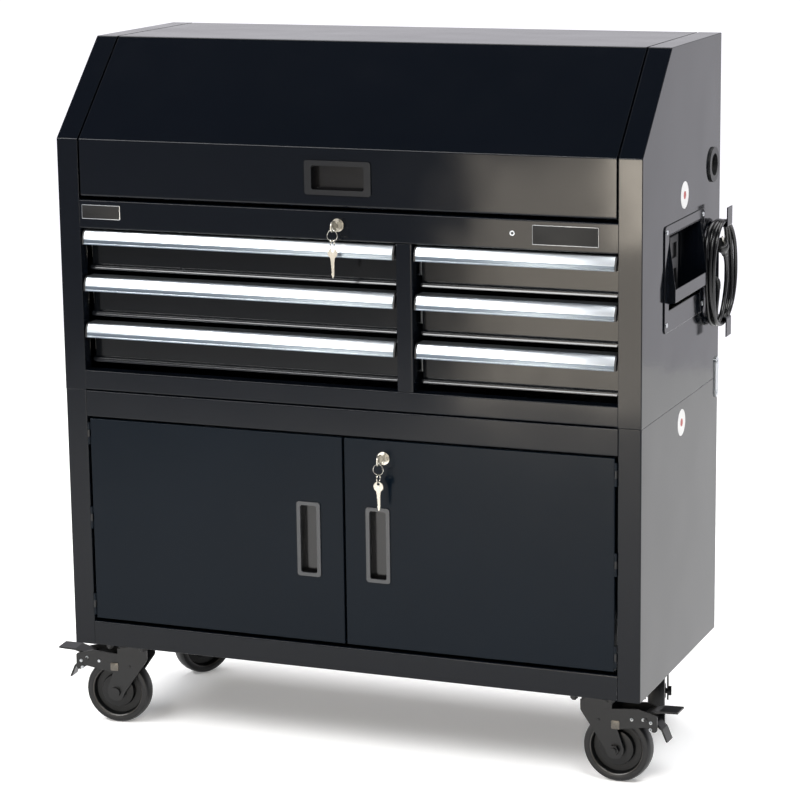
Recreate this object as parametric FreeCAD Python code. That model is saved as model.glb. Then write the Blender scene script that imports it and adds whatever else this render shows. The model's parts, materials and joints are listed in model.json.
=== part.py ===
"""Rolling tool chest: a two-door base cabinet on swivel casters, with a six-drawer top chest
and a sloped lid on it. Millimetres, +X to the user's right, +Y to the rear, +Z up."""
import FreeCAD, Part
import math
import os

from FreeCAD import Vector

# ---- driving dimensions -------------------------------------------------------------------
WIDTH = 1041.0            # over the side panels
DEPTH = 461.0             # front frame to back panel
CASTER_HEIGHT = 157.0     # floor to the underside of the cabinet
SEAM_HEIGHT = 459.5       # base cabinet, underside to top
SHOULDER_HEIGHT = 896.0   # underside to the fold where the lid starts to slope
BODY_HEIGHT = 1057.0      # underside to the top
SLOPE_DEPTH = 161.6       # depth taken by the slope
SHEET = 1.2               # body sheet
THIN = 1.0                # drawer sheet
BEND = 1.0                # inside bend radius
POST = 39.5               # width of the front posts
GAP = 0.2                 # between pieces that are welded or screwed face to face

# heights of the front's pieces, above the cabinet's underside
BOTTOM_RAIL = (0.0, 43.0)
DOOR_SPAN = (49.5, 409.5)
TOP_RAIL = (413.0, 459.0)
CHEST_BOTTOM_RAIL = (461.0, 495.0)
CHEST_TOP_RAIL = (743.0, 792.0)
LID_FRONT_BOTTOM = 798.0
DIVIDER_X = (620.5, 649.0)      # from the left side's outer face

DRAWER_PITCH = 81.0
DRAWER_TOP = 740.0
DRAWER_FRONT_HEIGHT = 72.0
DRAWER_RECESS = 32.0            # panel behind the front frame
DRAWER_DEPTH = 400.0
SLIDE_WIDTH = 12.7
SLIDE_HEIGHT = 35.0
HANDLE_HEIGHT = 25.0
DOOR_THICKNESS = 18.0
SHELF_HEIGHT = 215.0

WHEEL_RADIUS = 59.0
WHEEL_WIDTH = 30.0
CASTER_TRAIL = 34.0
CASTER_INSET_X = 88.5
CASTER_INSET_FRONT = 62.0
CASTER_INSET_REAR = 63.0
AXLE_RADIUS = 5.0
RUNNING = 0.05                  # radial clearance of a shaft in its bore
# which way each wheel trails from its swivel axis, degrees from +X
CASTER_TURN = {"front_left": 186.0, "front_right": -2.0, "rear_left": 238.0, "rear_right": 286.0}

CORD_DIAMETER = 7.0

# ---- derived places -----------------------------------------------------------------------
HALF = WIDTH / 2
FRONT = -DEPTH / 2
REAR = DEPTH / 2
BASE = CASTER_HEIGHT
SEAM = BASE + SEAM_HEIGHT
SHOULDER = BASE + SHOULDER_HEIGHT
TOP = BASE + BODY_HEIGHT
SLOPE_END = FRONT + SLOPE_DEPTH
OPENING = HALF - POST             # half width between the posts
LEFT_BAY = (-OPENING, DIVIDER_X[0] - HALF)
RIGHT_BAY = (DIVIDER_X[1] - HALF, OPENING)
PANEL_Y = FRONT + DRAWER_RECESS
LID_HALF = OPENING - 3.5
LID_AXIS = Vector(0, REAR - 4.5, TOP - 5.0)

parts = {}


def add(name, *solids):
    """File solids under a node; a node may hold several separate solids."""
    parts.setdefault(name, []).extend(solids)


def box(x0, x1, y0, y1, z0, z1):
    return Part.makeBox(x1 - x0, y1 - y0, z1 - z0, Vector(x0, y0, z0))


def rod(start, end, radius):
    """Solid cylinder between two points."""
    start = Vector(*start)
    axis = Vector(*end) - start
    return Part.makeCylinder(radius, axis.Length, start, axis)


def ring(start, end, outer, inner):
    return rod(start, end, outer).cut(rod(start, end, inner))


def unit(a, b):
    length = math.hypot(b[0] - a[0], b[1] - a[1])
    return ((b[0] - a[0]) / length, (b[1] - a[1]) / length)


def rounded_face(corners):
    """Flat face in the u-v plane from (u, v, radius) corners, each rounded by a tangent arc."""
    edges = []
    ends = []
    for i, (u, v, radius) in enumerate(corners):
        before = corners[i - 1]
        after = corners[(i + 1) % len(corners)]
        din = unit(before, (u, v))
        dout = unit((u, v), after)
        turn = math.atan2(din[0] * dout[1] - din[1] * dout[0], din[0] * dout[0] + din[1] * dout[1])
        if radius < 1e-6 or abs(turn) < 1e-6:
            ends.append((Vector(u, v, 0), Vector(u, v, 0)))
            continue
        back = radius * math.tan(abs(turn) / 2)
        first = Vector(u - din[0] * back, v - din[1] * back, 0)
        last = Vector(u + dout[0] * back, v + dout[1] * back, 0)
        side = math.copysign(1.0, turn)
        centre = first + Vector(-din[1], din[0], 0) * (radius * side)
        middle = Vector(u, v, 0) - centre
        middle = centre + middle * (radius / middle.Length)
        ends.append((first, last))
        edges.append((i, Part.Arc(first, middle, last).toShape()))
    arcs = dict(edges)
    outline = []
    for i in range(len(corners)):
        if i in arcs:
            outline.append(arcs[i])
        start = ends[i][1]
        stop = ends[(i + 1) % len(corners)][0]
        if (stop - start).Length > 1e-6:
            outline.append(Part.LineSegment(start, stop).toShape())
    return Part.Face(Part.Wire(outline))


def lift(face, plane, low, high):
    """Extrude a u-v face: plane "z" maps u, v to x, y; "x" to y, z; "y" to x, z."""
    if plane == "z":
        matrix = FreeCAD.Matrix(1, 0, 0, 0, 0, 1, 0, 0, 0, 0, 1, low, 0, 0, 0, 1)
        way = Vector(0, 0, high - low)
    elif plane == "x":
        matrix = FreeCAD.Matrix(0, 0, 1, low, 1, 0, 0, 0, 0, 1, 0, 0, 0, 0, 0, 1)
        way = Vector(high - low, 0, 0)
    else:
        matrix = FreeCAD.Matrix(1, 0, 0, 0, 0, 0, -1, high, 0, 1, 0, 0, 0, 0, 0, 1)
        way = Vector(0, low - high, 0)
    placed = face.copy()
    placed.Placement = FreeCAD.Placement(matrix)
    return placed.extrude(way)


def prism(corners, plane, low, high):
    full = [corner if len(corner) == 3 else (corner[0], corner[1], 0.0) for corner in corners]
    return lift(rounded_face(full), plane, low, high)


def bent_sheet(path, plane, low, high, sheet=SHEET, bend=BEND, inward=1):
    """Folded sheet: its outer skin follows the path, and the sheet lies to the path's left
    (inward 1) or right (inward -1). Every fold gets a round bend."""
    count = len(path)
    ways = [unit(path[i], path[i + 1]) for i in range(count - 1)]
    outer = []
    inner = []
    for i, (u, v) in enumerate(path):
        before = ways[max(i - 1, 0)]
        after = ways[min(i, count - 2)]
        turn = math.atan2(before[0] * after[1] - before[1] * after[0],
                          before[0] * after[0] + before[1] * after[1])
        nu = -(before[1] + after[1]) * inward
        nv = (before[0] + after[0]) * inward
        scale = sheet / (math.hypot(nu, nv) / 2 * math.cos(turn / 2)) / 2
        folds = 0 < i < count - 1
        tight = bend if folds else 0.0
        wide = bend + sheet if folds else 0.0
        goes_in = turn * inward > 0
        outer.append((u, v, wide if goes_in else tight))
        inner.append((u + nu * scale, v + nv * scale, tight if goes_in else wide))
    return lift(rounded_face(outer + inner[::-1]), plane, low, high)


def mirrored(shape):
    return shape.mirror(Vector(0, 0, 0), Vector(1, 0, 0))


def moved(shape, x=0.0, y=0.0, z=0.0):
    copy = shape.copy()
    copy.translate(Vector(x, y, z))
    return copy


def joined(first, *others):
    return first.fuse(list(others)).removeSplitter()


def pan_screw(point, axis, head=4.0, length=9.0):
    """Pan-head screw whose head sits on point and whose shank runs back along the axis."""
    axis = Vector(*axis)
    point = Vector(*point)
    dome = Part.makeCylinder(head, 1.6, point, axis)
    dome = dome.makeFillet(0.9, [e for e in dome.Edges if (e.CenterOfMass - point).dot(axis) > 1.5])
    shank = Part.makeCylinder(head / 2, length, point - axis * length, axis)
    return dome.fuse(shank)


# ---- base cabinet -------------------------------------------------------------------------
def base_cabinet():
    right = bent_sheet([(OPENING, FRONT + 22), (OPENING, FRONT), (HALF, FRONT), (HALF, REAR),
                        (HALF - 14, REAR)], "z", BASE, SEAM)
    add("lower_right_side", right)
    add("lower_left_side", mirrored(right))

    rail_end = OPENING - GAP
    top_rail = bent_sheet([(FRONT + 24, BASE + TOP_RAIL[0]), (FRONT, BASE + TOP_RAIL[0]),
                           (FRONT, BASE + TOP_RAIL[1]), (FRONT + 40, BASE + TOP_RAIL[1])],
                          "x", -rail_end, rail_end, inward=-1)
    bottom_rail = bent_sheet([(FRONT + 24, BASE + BOTTOM_RAIL[0]), (FRONT, BASE + BOTTOM_RAIL[0]),
                              (FRONT, BASE + BOTTOM_RAIL[1]), (FRONT + 24, BASE + BOTTOM_RAIL[1])],
                             "x", -rail_end, rail_end, inward=-1)
    add("front_rails", top_rail, bottom_rail)

    inner = HALF - SHEET - GAP
    back = box(-inner, inner, REAR - 2 * SHEET - GAP, REAR - SHEET - GAP, BASE + 2, SEAM - 2)
    add("back_panels", back)

    floor_z = BASE + BOTTOM_RAIL[1]
    floor_rear = REAR - 2 * SHEET - 2 * GAP
    floor = box(-OPENING, OPENING, FRONT + 24 + GAP, floor_rear, floor_z - SHEET, floor_z)
    channels = []
    for x in (-HALF + CASTER_INSET_X, HALF - CASTER_INSET_X):
        channel = bent_sheet([(x - 44, floor_z - SHEET - GAP), (x - 44, BASE), (x + 44, BASE),
                              (x + 44, floor_z - SHEET - GAP)],
                             "y", FRONT + 25, floor_rear, sheet=2.0)
        channels.append(channel)
    add("lower_floor", floor, *channels)

    shelf_z = BASE + SHELF_HEIGHT
    shelf_half = OPENING - 6
    shelf = bent_sheet([(FRONT + 60, shelf_z - 24), (FRONT + 60, shelf_z), (floor_rear - 3, shelf_z),
                        (floor_rear - 3, shelf_z - 24)], "x", -shelf_half, shelf_half, inward=-1)
    clips = []
    for y in (FRONT + 90, REAR - 60):
        clip = bent_sheet([(HALF - SHEET - GAP, shelf_z - 22), (HALF - SHEET - GAP, shelf_z - SHEET - GAP),
                           (shelf_half - 12, shelf_z - SHEET - GAP)], "y", y - 12, y + 12, inward=1)
        clips += [clip, mirrored(clip)]
    add("cabinet_shelf", shelf, *clips)


# ---- top chest ----------------------------------------------------------------------------
POCKET_Y = (FRONT + 144.0, FRONT + 337.0)       # opening of the side pocket
POCKET_Z = (BASE + 629.0, BASE + 754.5)
POCKET_DEPTH = 34.0
FRAME_Y = (FRONT + 121.5, FRONT + 358.0)        # trim plate around it
FRAME_Z = (BASE + 593.0, BASE + 770.0)
GROMMET = (FRONT + 414.0, BASE + 836.5)
GROMMET_RADIUS = 30.0
HOOK_Y = FRONT + 433.0
HOOK_HALF_WIDTH = 15.0
HOOK_TOP = BASE + 728.5
HOOK_BOTTOM = BASE + 571.0
HOOK_REACH = 26.5
GLAND = (FRONT + 405.0, BASE + 640.0)


def chest_side(is_right):
    """Side sheet with the folded flange that frames the front, the slope and the top."""
    outline = [(FRONT, SEAM + 0.6), (REAR, SEAM + 0.6), (REAR, TOP, 2.0), (SLOPE_END, TOP, 4.0),
               (FRONT, SHOULDER, 4.0)]
    plate = prism(outline, "x", HALF - SHEET, HALF)
    flange = bent_sheet([(FRONT, SEAM + 0.6), (FRONT, SHOULDER), (SLOPE_END, TOP), (REAR, TOP)],
                        "x", OPENING, HALF, inward=-1, bend=2.8)
    side = joined(plate, flange)
    rim = []
    for edge in side.Edges:
        ends = [v.Point for v in edge.Vertexes]
        on_face = all(abs(p.x - HALF) < 0.01 for p in ends)
        inside = all(p.y < REAR - 3 for p in ends) and all(p.z > SEAM + 3 for p in ends)
        if on_face and (inside or edge.Length > 100):
            rear_or_bottom = all(abs(p.y - REAR) < 0.1 for p in ends) or all(p.z < SEAM + 1 for p in ends)
            if not rear_or_bottom:
                rim.append(edge)
    side = side.makeFillet(1.1, rim)
    post_return = box(OPENING, OPENING + SHEET, FRONT + SHEET - 0.1, FRONT + 22, SEAM + 0.6,
                      BASE + CHEST_TOP_RAIL[1])
    rear_flange = box(HALF - 14, HALF - SHEET + 0.1, REAR - SHEET, REAR, SEAM + 0.6, TOP - 20)
    side = joined(side, post_return, rear_flange)
    if is_right:
        cuts = [box(HALF - 5, HALF + 5, POCKET_Y[0] - 2, POCKET_Y[1] + 2, POCKET_Z[0] - 2, POCKET_Z[1] + 2),
                rod((HALF - 5, GROMMET[0], GROMMET[1]), (HALF + 5, GROMMET[0], GROMMET[1]), 24.2),
                rod((HALF - 5, GLAND[0], GLAND[1]), (HALF + 5, GLAND[0], GLAND[1]), 7.2)]
        return side.cut(cuts)
    return mirrored(side)


def top_chest():
    add("upper_right_side", chest_side(True))
    add("upper_left_side", chest_side(False))

    rail_end = OPENING - GAP
    top_rail = bent_sheet([(FRONT + 30, BASE + CHEST_TOP_RAIL[0]), (FRONT, BASE + CHEST_TOP_RAIL[0]),
                           (FRONT, BASE + CHEST_TOP_RAIL[1]), (FRONT + 30, BASE + CHEST_TOP_RAIL[1])],
                          "x", -rail_end, rail_end, inward=-1)
    lock_hole = rod((LOCKS["drawer"][0], FRONT - 5, LOCKS["drawer"][1]),
                    (LOCKS["drawer"][0], FRONT + 5, LOCKS["drawer"][1]), LOCK_BODY + 0.2)
    bottom_rail = bent_sheet([(FRONT + 24, BASE + CHEST_BOTTOM_RAIL[0]), (FRONT, BASE + CHEST_BOTTOM_RAIL[0]),
                              (FRONT, BASE + CHEST_BOTTOM_RAIL[1]), (FRONT + 24, BASE + CHEST_BOTTOM_RAIL[1])],
                             "x", -rail_end, rail_end, inward=-1)
    add("front_rails", top_rail.cut(lock_hole), bottom_rail)

    inner = HALF - SHEET - GAP
    back = box(-inner, inner, REAR - 2 * SHEET - GAP, REAR - SHEET - GAP, SEAM + 2, TOP - 20)
    add("back_panels", back)

    floor_rear = REAR - 2 * SHEET - 2 * GAP
    floor_z = BASE + CHEST_BOTTOM_RAIL[0] + SHEET + GAP
    hutch_z = BASE + CHEST_TOP_RAIL[1] - SHEET - GAP
    floor = box(-inner, inner, FRONT + 26, floor_rear, floor_z, floor_z + SHEET)
    hutch = box(-inner, inner, FRONT + 24, floor_rear, hutch_z - SHEET, hutch_z)
    add("upper_floors", floor, hutch)

    x0, x1 = DIVIDER_X[0] - HALF, DIVIDER_X[1] - HALF
    low = BASE + CHEST_BOTTOM_RAIL[1] + GAP
    high = BASE + CHEST_TOP_RAIL[0] - GAP
    divider = bent_sheet([(x0, floor_rear - 20), (x0, FRONT), (x1, FRONT), (x1, floor_rear - 20)],
                         "z", low, high)
    add("drawer_divider", divider)

    for x, inward in ((-OPENING, 1), (OPENING, -1)):
        post = bent_sheet([(x, floor_rear - 44), (x, floor_rear - 8),
                           (x - 30 * inward, floor_rear - 8)],
                          "z", floor_z + SHEET + GAP, hutch_z - SHEET - GAP, inward=inward)
        add("inner_supports", post)

    seam_plate = []
    for x in (-1, 1):
        plate = prism([(REAR - 22, SEAM - 36, 8), (REAR - 4, SEAM - 36, 8), (REAR - 4, SEAM + 36, 8),
                       (REAR - 22, SEAM + 36, 8)], "x", HALF + 0.02, HALF + 2.5)
        seam_plate.append(plate if x > 0 else mirrored(plate))
        for z in (SEAM - 27, SEAM + 27):
            add("side_hardware", pan_screw((x * (HALF + 2.5), REAR - 13, z), (x, 0, 0)))
    add("side_hardware", *seam_plate)


# ---- side pocket, power strip and cord ----------------------------------------------------
LIP_X = HALF + 13.0
LIP_Z = (BASE + 642.0, BASE + 664.0)


def side_fittings():
    y0, y1 = POCKET_Y
    z0, z1 = POCKET_Z
    frame = prism([(FRAME_Y[0], FRAME_Z[0], 9), (FRAME_Y[1], FRAME_Z[0], 9), (FRAME_Y[1], FRAME_Z[1], 9),
                   (FRAME_Y[0], FRAME_Z[1], 9)], "x", HALF + 0.02, HALF + 2.0)
    frame = frame.cut(box(HALF - 1, HALF + 5, y0, y1, z0, z1))
    for y in (FRAME_Y[0] + 10, FRAME_Y[1] - 10):
        for z in (FRAME_Z[0] + 14, FRAME_Z[1] - 10):
            frame = frame.cut(rod((HALF - 1, y, z), (HALF + 5, y, z), 2.2))
            add("side_hardware", pan_screw((HALF + 2.02, y, z), (1, 0, 0)))
    add("pocket_frame", frame)

    # a scoop: back wall, two cheeks that lean out of the opening, a floor and a raised lip
    back_x = HALF - POCKET_DEPTH
    gap = 1.2
    cy0, cy1 = y0 + gap, y1 - gap
    cheek_outline = [(back_x, z0 + 4), (LIP_X, LIP_Z[0]), (LIP_X, LIP_Z[1], 2), (HALF + 1, z1 - gap),
                     (back_x, z1 - gap)]
    solid = prism(cheek_outline, "y", cy0, cy1)
    hollow_outline = [(back_x + SHEET, z0 + 6), (LIP_X - SHEET, LIP_Z[0] + 2), (LIP_X - SHEET, LIP_Z[1]),
                      (HALF + 40, LIP_Z[1]), (HALF + 40, z1 + 20), (HALF + 1, z1 + 20),
                      (HALF + 1, z1 - gap - SHEET), (back_x + SHEET, z1 - gap - SHEET)]
    hollow = prism(hollow_outline, "y", cy0 + SHEET, cy1 - SHEET)
    pocket = solid.cut(hollow)
    add("side_pocket", pocket)

    strip_z = (z0 + 14, z1 - 16)
    strip = box(back_x + SHEET + GAP, back_x + 15, y0 + 78, y0 + 128, *strip_z)
    strip = strip.makeFillet(2.5, [e for e in strip.Edges if all(v.X > back_x + 14 for v in e.Vertexes)])
    sockets = []
    for i in range(2):
        z = strip_z[0] + 26 + i * 44
        sockets.append(box(back_x + 11, back_x + 16, y0 + 90, y0 + 116, z - 13, z + 13))
    add("power_strip", strip.cut(sockets))

    grommet = ring((HALF - 5, *GROMMET), (HALF + 0.02, *GROMMET), 24.0, 19.0)
    grommet = grommet.fuse(ring((HALF + 0.02, *GROMMET), (HALF + 3.5, *GROMMET), GROMMET_RADIUS, 19.0))
    gland = ring((HALF - 6, *GLAND), (HALF + 0.02, *GLAND), 7.0, CORD_DIAMETER / 2)
    gland = gland.fuse(ring((HALF + 0.02, *GLAND), (HALF + 5, *GLAND), 9.0, CORD_DIAMETER / 2))
    add("bushings", grommet.removeSplitter(), gland.removeSplitter())

    # cord hooks: each is a strip bent out from the side, over or under the coil, and up or down
    reach = HALF + HOOK_REACH
    for arm, way in ((HOOK_TOP, 1), (HOOK_BOTTOM, -1)):
        hook = bent_sheet([(HALF + 2.02, arm - 34 * way), (HALF + 2.02, arm), (reach, arm), (reach, arm + 34 * way)],
                          "y", HOOK_Y - HOOK_HALF_WIDTH, HOOK_Y + HOOK_HALF_WIDTH, sheet=2.0, bend=1.5, inward=way)
        screws = []
        for y in (HOOK_Y - 8, HOOK_Y + 8):
            seat = (HALF + 2.04, y, arm - 22 * way)
            screws.append(rod((HALF - 5, *seat[1:]), (HALF + 5, *seat[1:]), 2.2))
            add("side_hardware", pan_screw(seat, (1, 0, 0), head=3.6))
        add("cord_hooks", hook.cut(screws))


COIL_CENTRE = Vector(HALF + 15.0, FRONT + 416.0, BASE + 649.75)
COIL_FRONT = -58.0
COIL_REAR = 61.0
COIL_HALF_HEIGHT = 90.5
COIL_FRONT_BEND = 47.0
COIL_REAR_BEND = 28.0
COIL_SECTION = 7.0
COIL_TWIST = 3.0          # the rear strands stand further out than the front ones, degrees

# route of the cord from its gland to the coil, and from the coil to the plug
LEAD_ROUTE = [(HALF + 3.0, 174.5, 797.0), (HALF + 11.0, 174.5, 797.0), (HALF + 15.0, 173.5, 790.0),
              (HALF + 15.5, 171.5, 777.0), (HALF + 15.0, 168.5, 761.0), (HALF + 14.5, 167.0, 741.0),
              (HALF + 14.5, 167.5, 720.0)]
TAIL_ROUTE = [(HALF + 16.8, 173.5, 712.0), (HALF + 17.5, 180.5, 728.0), (HALF + 18.5, 191.5, 746.0),
              (HALF + 19.5, 201.0, 768.0), (HALF + 20.0, 206.0, 790.0), (HALF + 20.2, 208.0, 808.0),
              (HALF + 20.0, 204.5, 824.0), (HALF + 19.5, 198.0, 836.0)]


def tube_path(route):
    """Straight runs joined by tangent arcs, as large as the runs at each corner allow."""
    points = [Vector(*point) for point in route]
    edges = []
    radii = []
    start = points[0]
    for i in range(1, len(points) - 1):
        before = points[i] - points[i - 1]
        after = points[i + 1] - points[i]
        back = 0.45 * min(before.Length, after.Length)
        turn = before.getAngle(after)
        radius = back / math.tan(turn / 2)
        radii.append(radius)
        before.normalize()
        after.normalize()
        first = points[i] - before * back
        last = points[i] + after * back
        to_centre = (after - before).normalize()
        centre = points[i] + to_centre * (radius / math.cos(turn / 2))
        edges.append(Part.LineSegment(start, first).toShape())
        edges.append(Part.Arc(first, centre - to_centre * radius, last).toShape())
        start = last
    edges.append(Part.LineSegment(start, points[-1]).toShape())
    return Part.Wire(edges), radii


def tube(route, name):
    path, radii = tube_path(route)
    start = Vector(*route[0])
    way = Vector(*route[1]) - start
    circle = Part.Wire(Part.Circle(start, way, CORD_DIAMETER / 2).toShape())
    solid = path.makePipeShell([circle], True, True)
    expected = path.Length * math.pi * CORD_DIAMETER ** 2 / 4
    print(name, "length", round(path.Length, 1), "radii", [round(r, 1) for r in radii],
          "volume over section x length", round(solid.Volume / expected, 4))
    return solid


def cord():
    """The wound cord: an oval ring around both hooks, a lead into it and a tail out to the plug."""
    high = COIL_HALF_HEIGHT
    loop = rounded_face([(COIL_FRONT, -high, COIL_FRONT_BEND), (COIL_REAR, -high, COIL_REAR_BEND),
                         (COIL_REAR, high, COIL_REAR_BEND), (COIL_FRONT, high, COIL_FRONT_BEND)]).OuterWire
    circle = Part.Wire(Part.Circle(Vector(COIL_FRONT, 0, 0), Vector(0, 1, 0), COIL_SECTION).toShape())
    coil = loop.makePipeShell([circle], True, True)
    coil.Placement = FreeCAD.Placement(FreeCAD.Matrix(0, 0, 1, 0, 1, 0, 0, 0, 0, 1, 0, 0, 0, 0, 0, 1))
    coil.rotate(Vector(0, 0, 0), Vector(0, 0, 1), -COIL_TWIST)
    coil.translate(COIL_CENTRE)

    body_end = Vector(HALF + 16.5, 172.0, 868.0)
    body_start = Vector(*TAIL_ROUTE[-1])
    way = (body_end - body_start).normalize()
    relief = Part.makeCone(CORD_DIAMETER / 2 + 0.8, 7.0, 14.0, body_start, way)
    body = Part.makeCylinder(11.0, 17.0, body_start + way * 14.0, way)
    blades = []
    across = way.cross(Vector(1, 0, 0)).normalize()
    for offset in (-6.0, 6.0):
        blades.append(Part.makeCylinder(1.8, 13.0, body_start + way * 31.0 + across * offset, way))
    plug = relief.fuse([body] + blades).removeSplitter()

    lead = tube(LEAD_ROUTE, "cord_lead").cut(coil)
    tail = tube(TAIL_ROUTE, "cord_tail").cut(coil).cut(plug)
    add("cord_coil", coil)
    add("cord_lead", biggest(lead))
    add("cord_tail", biggest(tail))
    add("cord_plug", plug)


def biggest(shape):
    return max(shape.Solids, key=lambda solid: solid.Volume)


# ---- lid ----------------------------------------------------------------------------------
LID_PULL = (-0.75, BASE + 846.5)      # centre of the recessed pull
LID_PULL_SIZE = (118.0, 57.0)
LID_PULL_HOLE = (94.0, 40.0)
STRUT_X = OPENING - 16.0
STRUT_FOOT = (FRONT + 366.0, BASE + 832.0)
STRUT_HEAD = (FRONT + 394.0, BASE + 1034.0)


def lid():
    path = [(FRONT, BASE + LID_FRONT_BOTTOM), (FRONT, SHOULDER), (SLOPE_END, TOP), (REAR - 1.5, TOP)]
    shell = bent_sheet([(FRONT + 14, BASE + LID_FRONT_BOTTOM)] + path, "x", -LID_HALF, LID_HALF,
                       inward=-1, bend=2.8)
    depth = 18.0
    drop = depth * math.tan(math.radians(22.5))
    band = [(FRONT + 0.6, BASE + LID_FRONT_BOTTOM + 1), (FRONT + 0.6, SHOULDER), (SLOPE_END, TOP - 0.6),
            (REAR - 16, TOP - 0.6), (REAR - 16, TOP - 12), (REAR - 34, TOP - depth),
            (SLOPE_END + drop, TOP - depth), (FRONT + depth, SHOULDER - drop),
            (FRONT + depth, BASE + LID_FRONT_BOTTOM + 1)]
    left = prism(band, "x", -LID_HALF, -LID_HALF + SHEET)
    right = prism(band, "x", LID_HALF - SHEET, LID_HALF)
    shell = joined(shell, left, right)
    cx, cz = LID_PULL
    w, h = LID_PULL_SIZE
    window = box(cx - w / 2 + 5, cx + w / 2 - 5, FRONT - 3, FRONT + 5, cz - h / 2 + 5, cz + h / 2 - 5)
    shell = shell.cut(window)
    plate_z = TOP - SHEET - 0.3
    moving_leaf = box(-LID_HALF + 20, LID_HALF - 20, REAR - 40, REAR - 9, plate_z - 1.0, plate_z)
    knuckles = []
    for i in range(0, 8, 2):
        knuckles.append(lid_knuckle(i))
    leaf = moving_leaf.fuse(knuckles).removeSplitter()
    leaf = leaf.cut(rod((-HALF, LID_AXIS.y, LID_AXIS.z), (HALF, LID_AXIS.y, LID_AXIS.z), 1.5 + RUNNING))
    for i in range(1, 8, 2):
        leaf = leaf.cut(lid_knuckle_room(i))
    plates = []
    for side in (-1, 1):
        x = side * (STRUT_X - 12.5)
        outline = [(STRUT_HEAD[0] - 18, plate_z - 1.2), (STRUT_HEAD[0] - 10, STRUT_HEAD[1] - 9, 4),
                   (STRUT_HEAD[0] + 10, STRUT_HEAD[1] - 9, 4), (STRUT_HEAD[0] + 18, plate_z - 1.2)]
        plates.append(prism(outline, "x", x - 1.0, x + 1.0))
    add("lid", shell, leaf, *plates)

    pull = recessed_pull(cx, cz, LID_PULL_SIZE, LID_PULL_HOLE, 18.0)
    add("lid_pull", pull)


def lid_knuckle_span(i):
    step = (2 * LID_HALF - 60) / 8
    start = -LID_HALF + 30 + i * step
    return start + 0.4, start + step - 0.4


def lid_knuckle(i):
    x0, x1 = lid_knuckle_span(i)
    return rod((x0, LID_AXIS.y, LID_AXIS.z), (x1, LID_AXIS.y, LID_AXIS.z), 3.2)


def lid_knuckle_room(i):
    x0, x1 = lid_knuckle_span(i)
    return box(x0 - 0.8, x1 + 0.8, LID_AXIS.y - 4.4, LID_AXIS.y + 8, LID_AXIS.z - 8, LID_AXIS.z + 8)


def recessed_pull(cx, cz, size, hole, depth):
    """Plastic cup with a rim that stands on the sheet around its cut-out."""
    w, h = size
    rim = prism([(cx - w / 2, cz - h / 2, 5), (cx + w / 2, cz - h / 2, 5), (cx + w / 2, cz + h / 2, 5),
                 (cx - w / 2, cz + h / 2, 5)], "y", FRONT - 2.5, FRONT - 0.02)
    cup = box(cx - w / 2 + 5.3, cx + w / 2 - 5.3, FRONT - 0.5, FRONT + depth, cz - h / 2 + 5.3, cz + h / 2 - 5.3)
    hw, hh = hole
    room = prism([(cx - hw / 2, cz - hh / 2, 4), (cx + hw / 2, cz - hh / 2, 4), (cx + hw / 2, cz + hh / 2, 4),
                  (cx - hw / 2, cz + hh / 2, 4)], "y", FRONT - 5, FRONT + depth - 1.6)
    return rim.fuse(cup).cut(room).removeSplitter()


def struts():
    """Gas springs: the cylinder turns on the side's stud, and the rod ends in an eye beside
    the lid's plate."""
    foot = Vector(0, *STRUT_FOOT)
    head = Vector(0, *STRUT_HEAD)
    way = (head - foot).normalize()
    length = (head - foot).Length
    tube_end = 128.0
    for side, name in ((-1, "left"), (1, "right")):
        x = side * (STRUT_X - 6)
        shift = Vector(x, 0, 0)
        cross = Vector(side, 0, 0)
        eye = rod(foot + shift - cross * 4, foot + shift + cross * 4, 7.0)
        neck = rod(foot + shift, foot + shift + way * 12, 3.0)
        body = rod(foot + shift + way * 10, foot + shift + way * tube_end, 7.5)
        bore = rod(foot + shift + way * 40, foot + shift + way * (tube_end + 5), 3.0 + RUNNING)
        pin_hole = rod(foot + shift - cross * 6, foot + shift + cross * 6, 4.0 + RUNNING)
        add("strut_cylinder_" + name, joined(eye, neck, body).cut([bore, pin_hole]))
        stem = rod(foot + shift + way * 60, foot + shift + way * (length - 3), 3.0)
        head_eye = rod(head + shift - cross * 4, head + shift + cross * 4, 7.0)
        add("strut_rod_" + name, joined(stem, head_eye))
        stud = rod(foot + shift - cross * 5, Vector(side * (HALF - SHEET), foot.y, foot.z), 4.0)
        cap = rod(foot + shift - cross * 7, foot + shift - cross * 5, 6.0)
        add("inner_supports", stud.fuse(cap).removeSplitter())


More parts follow.
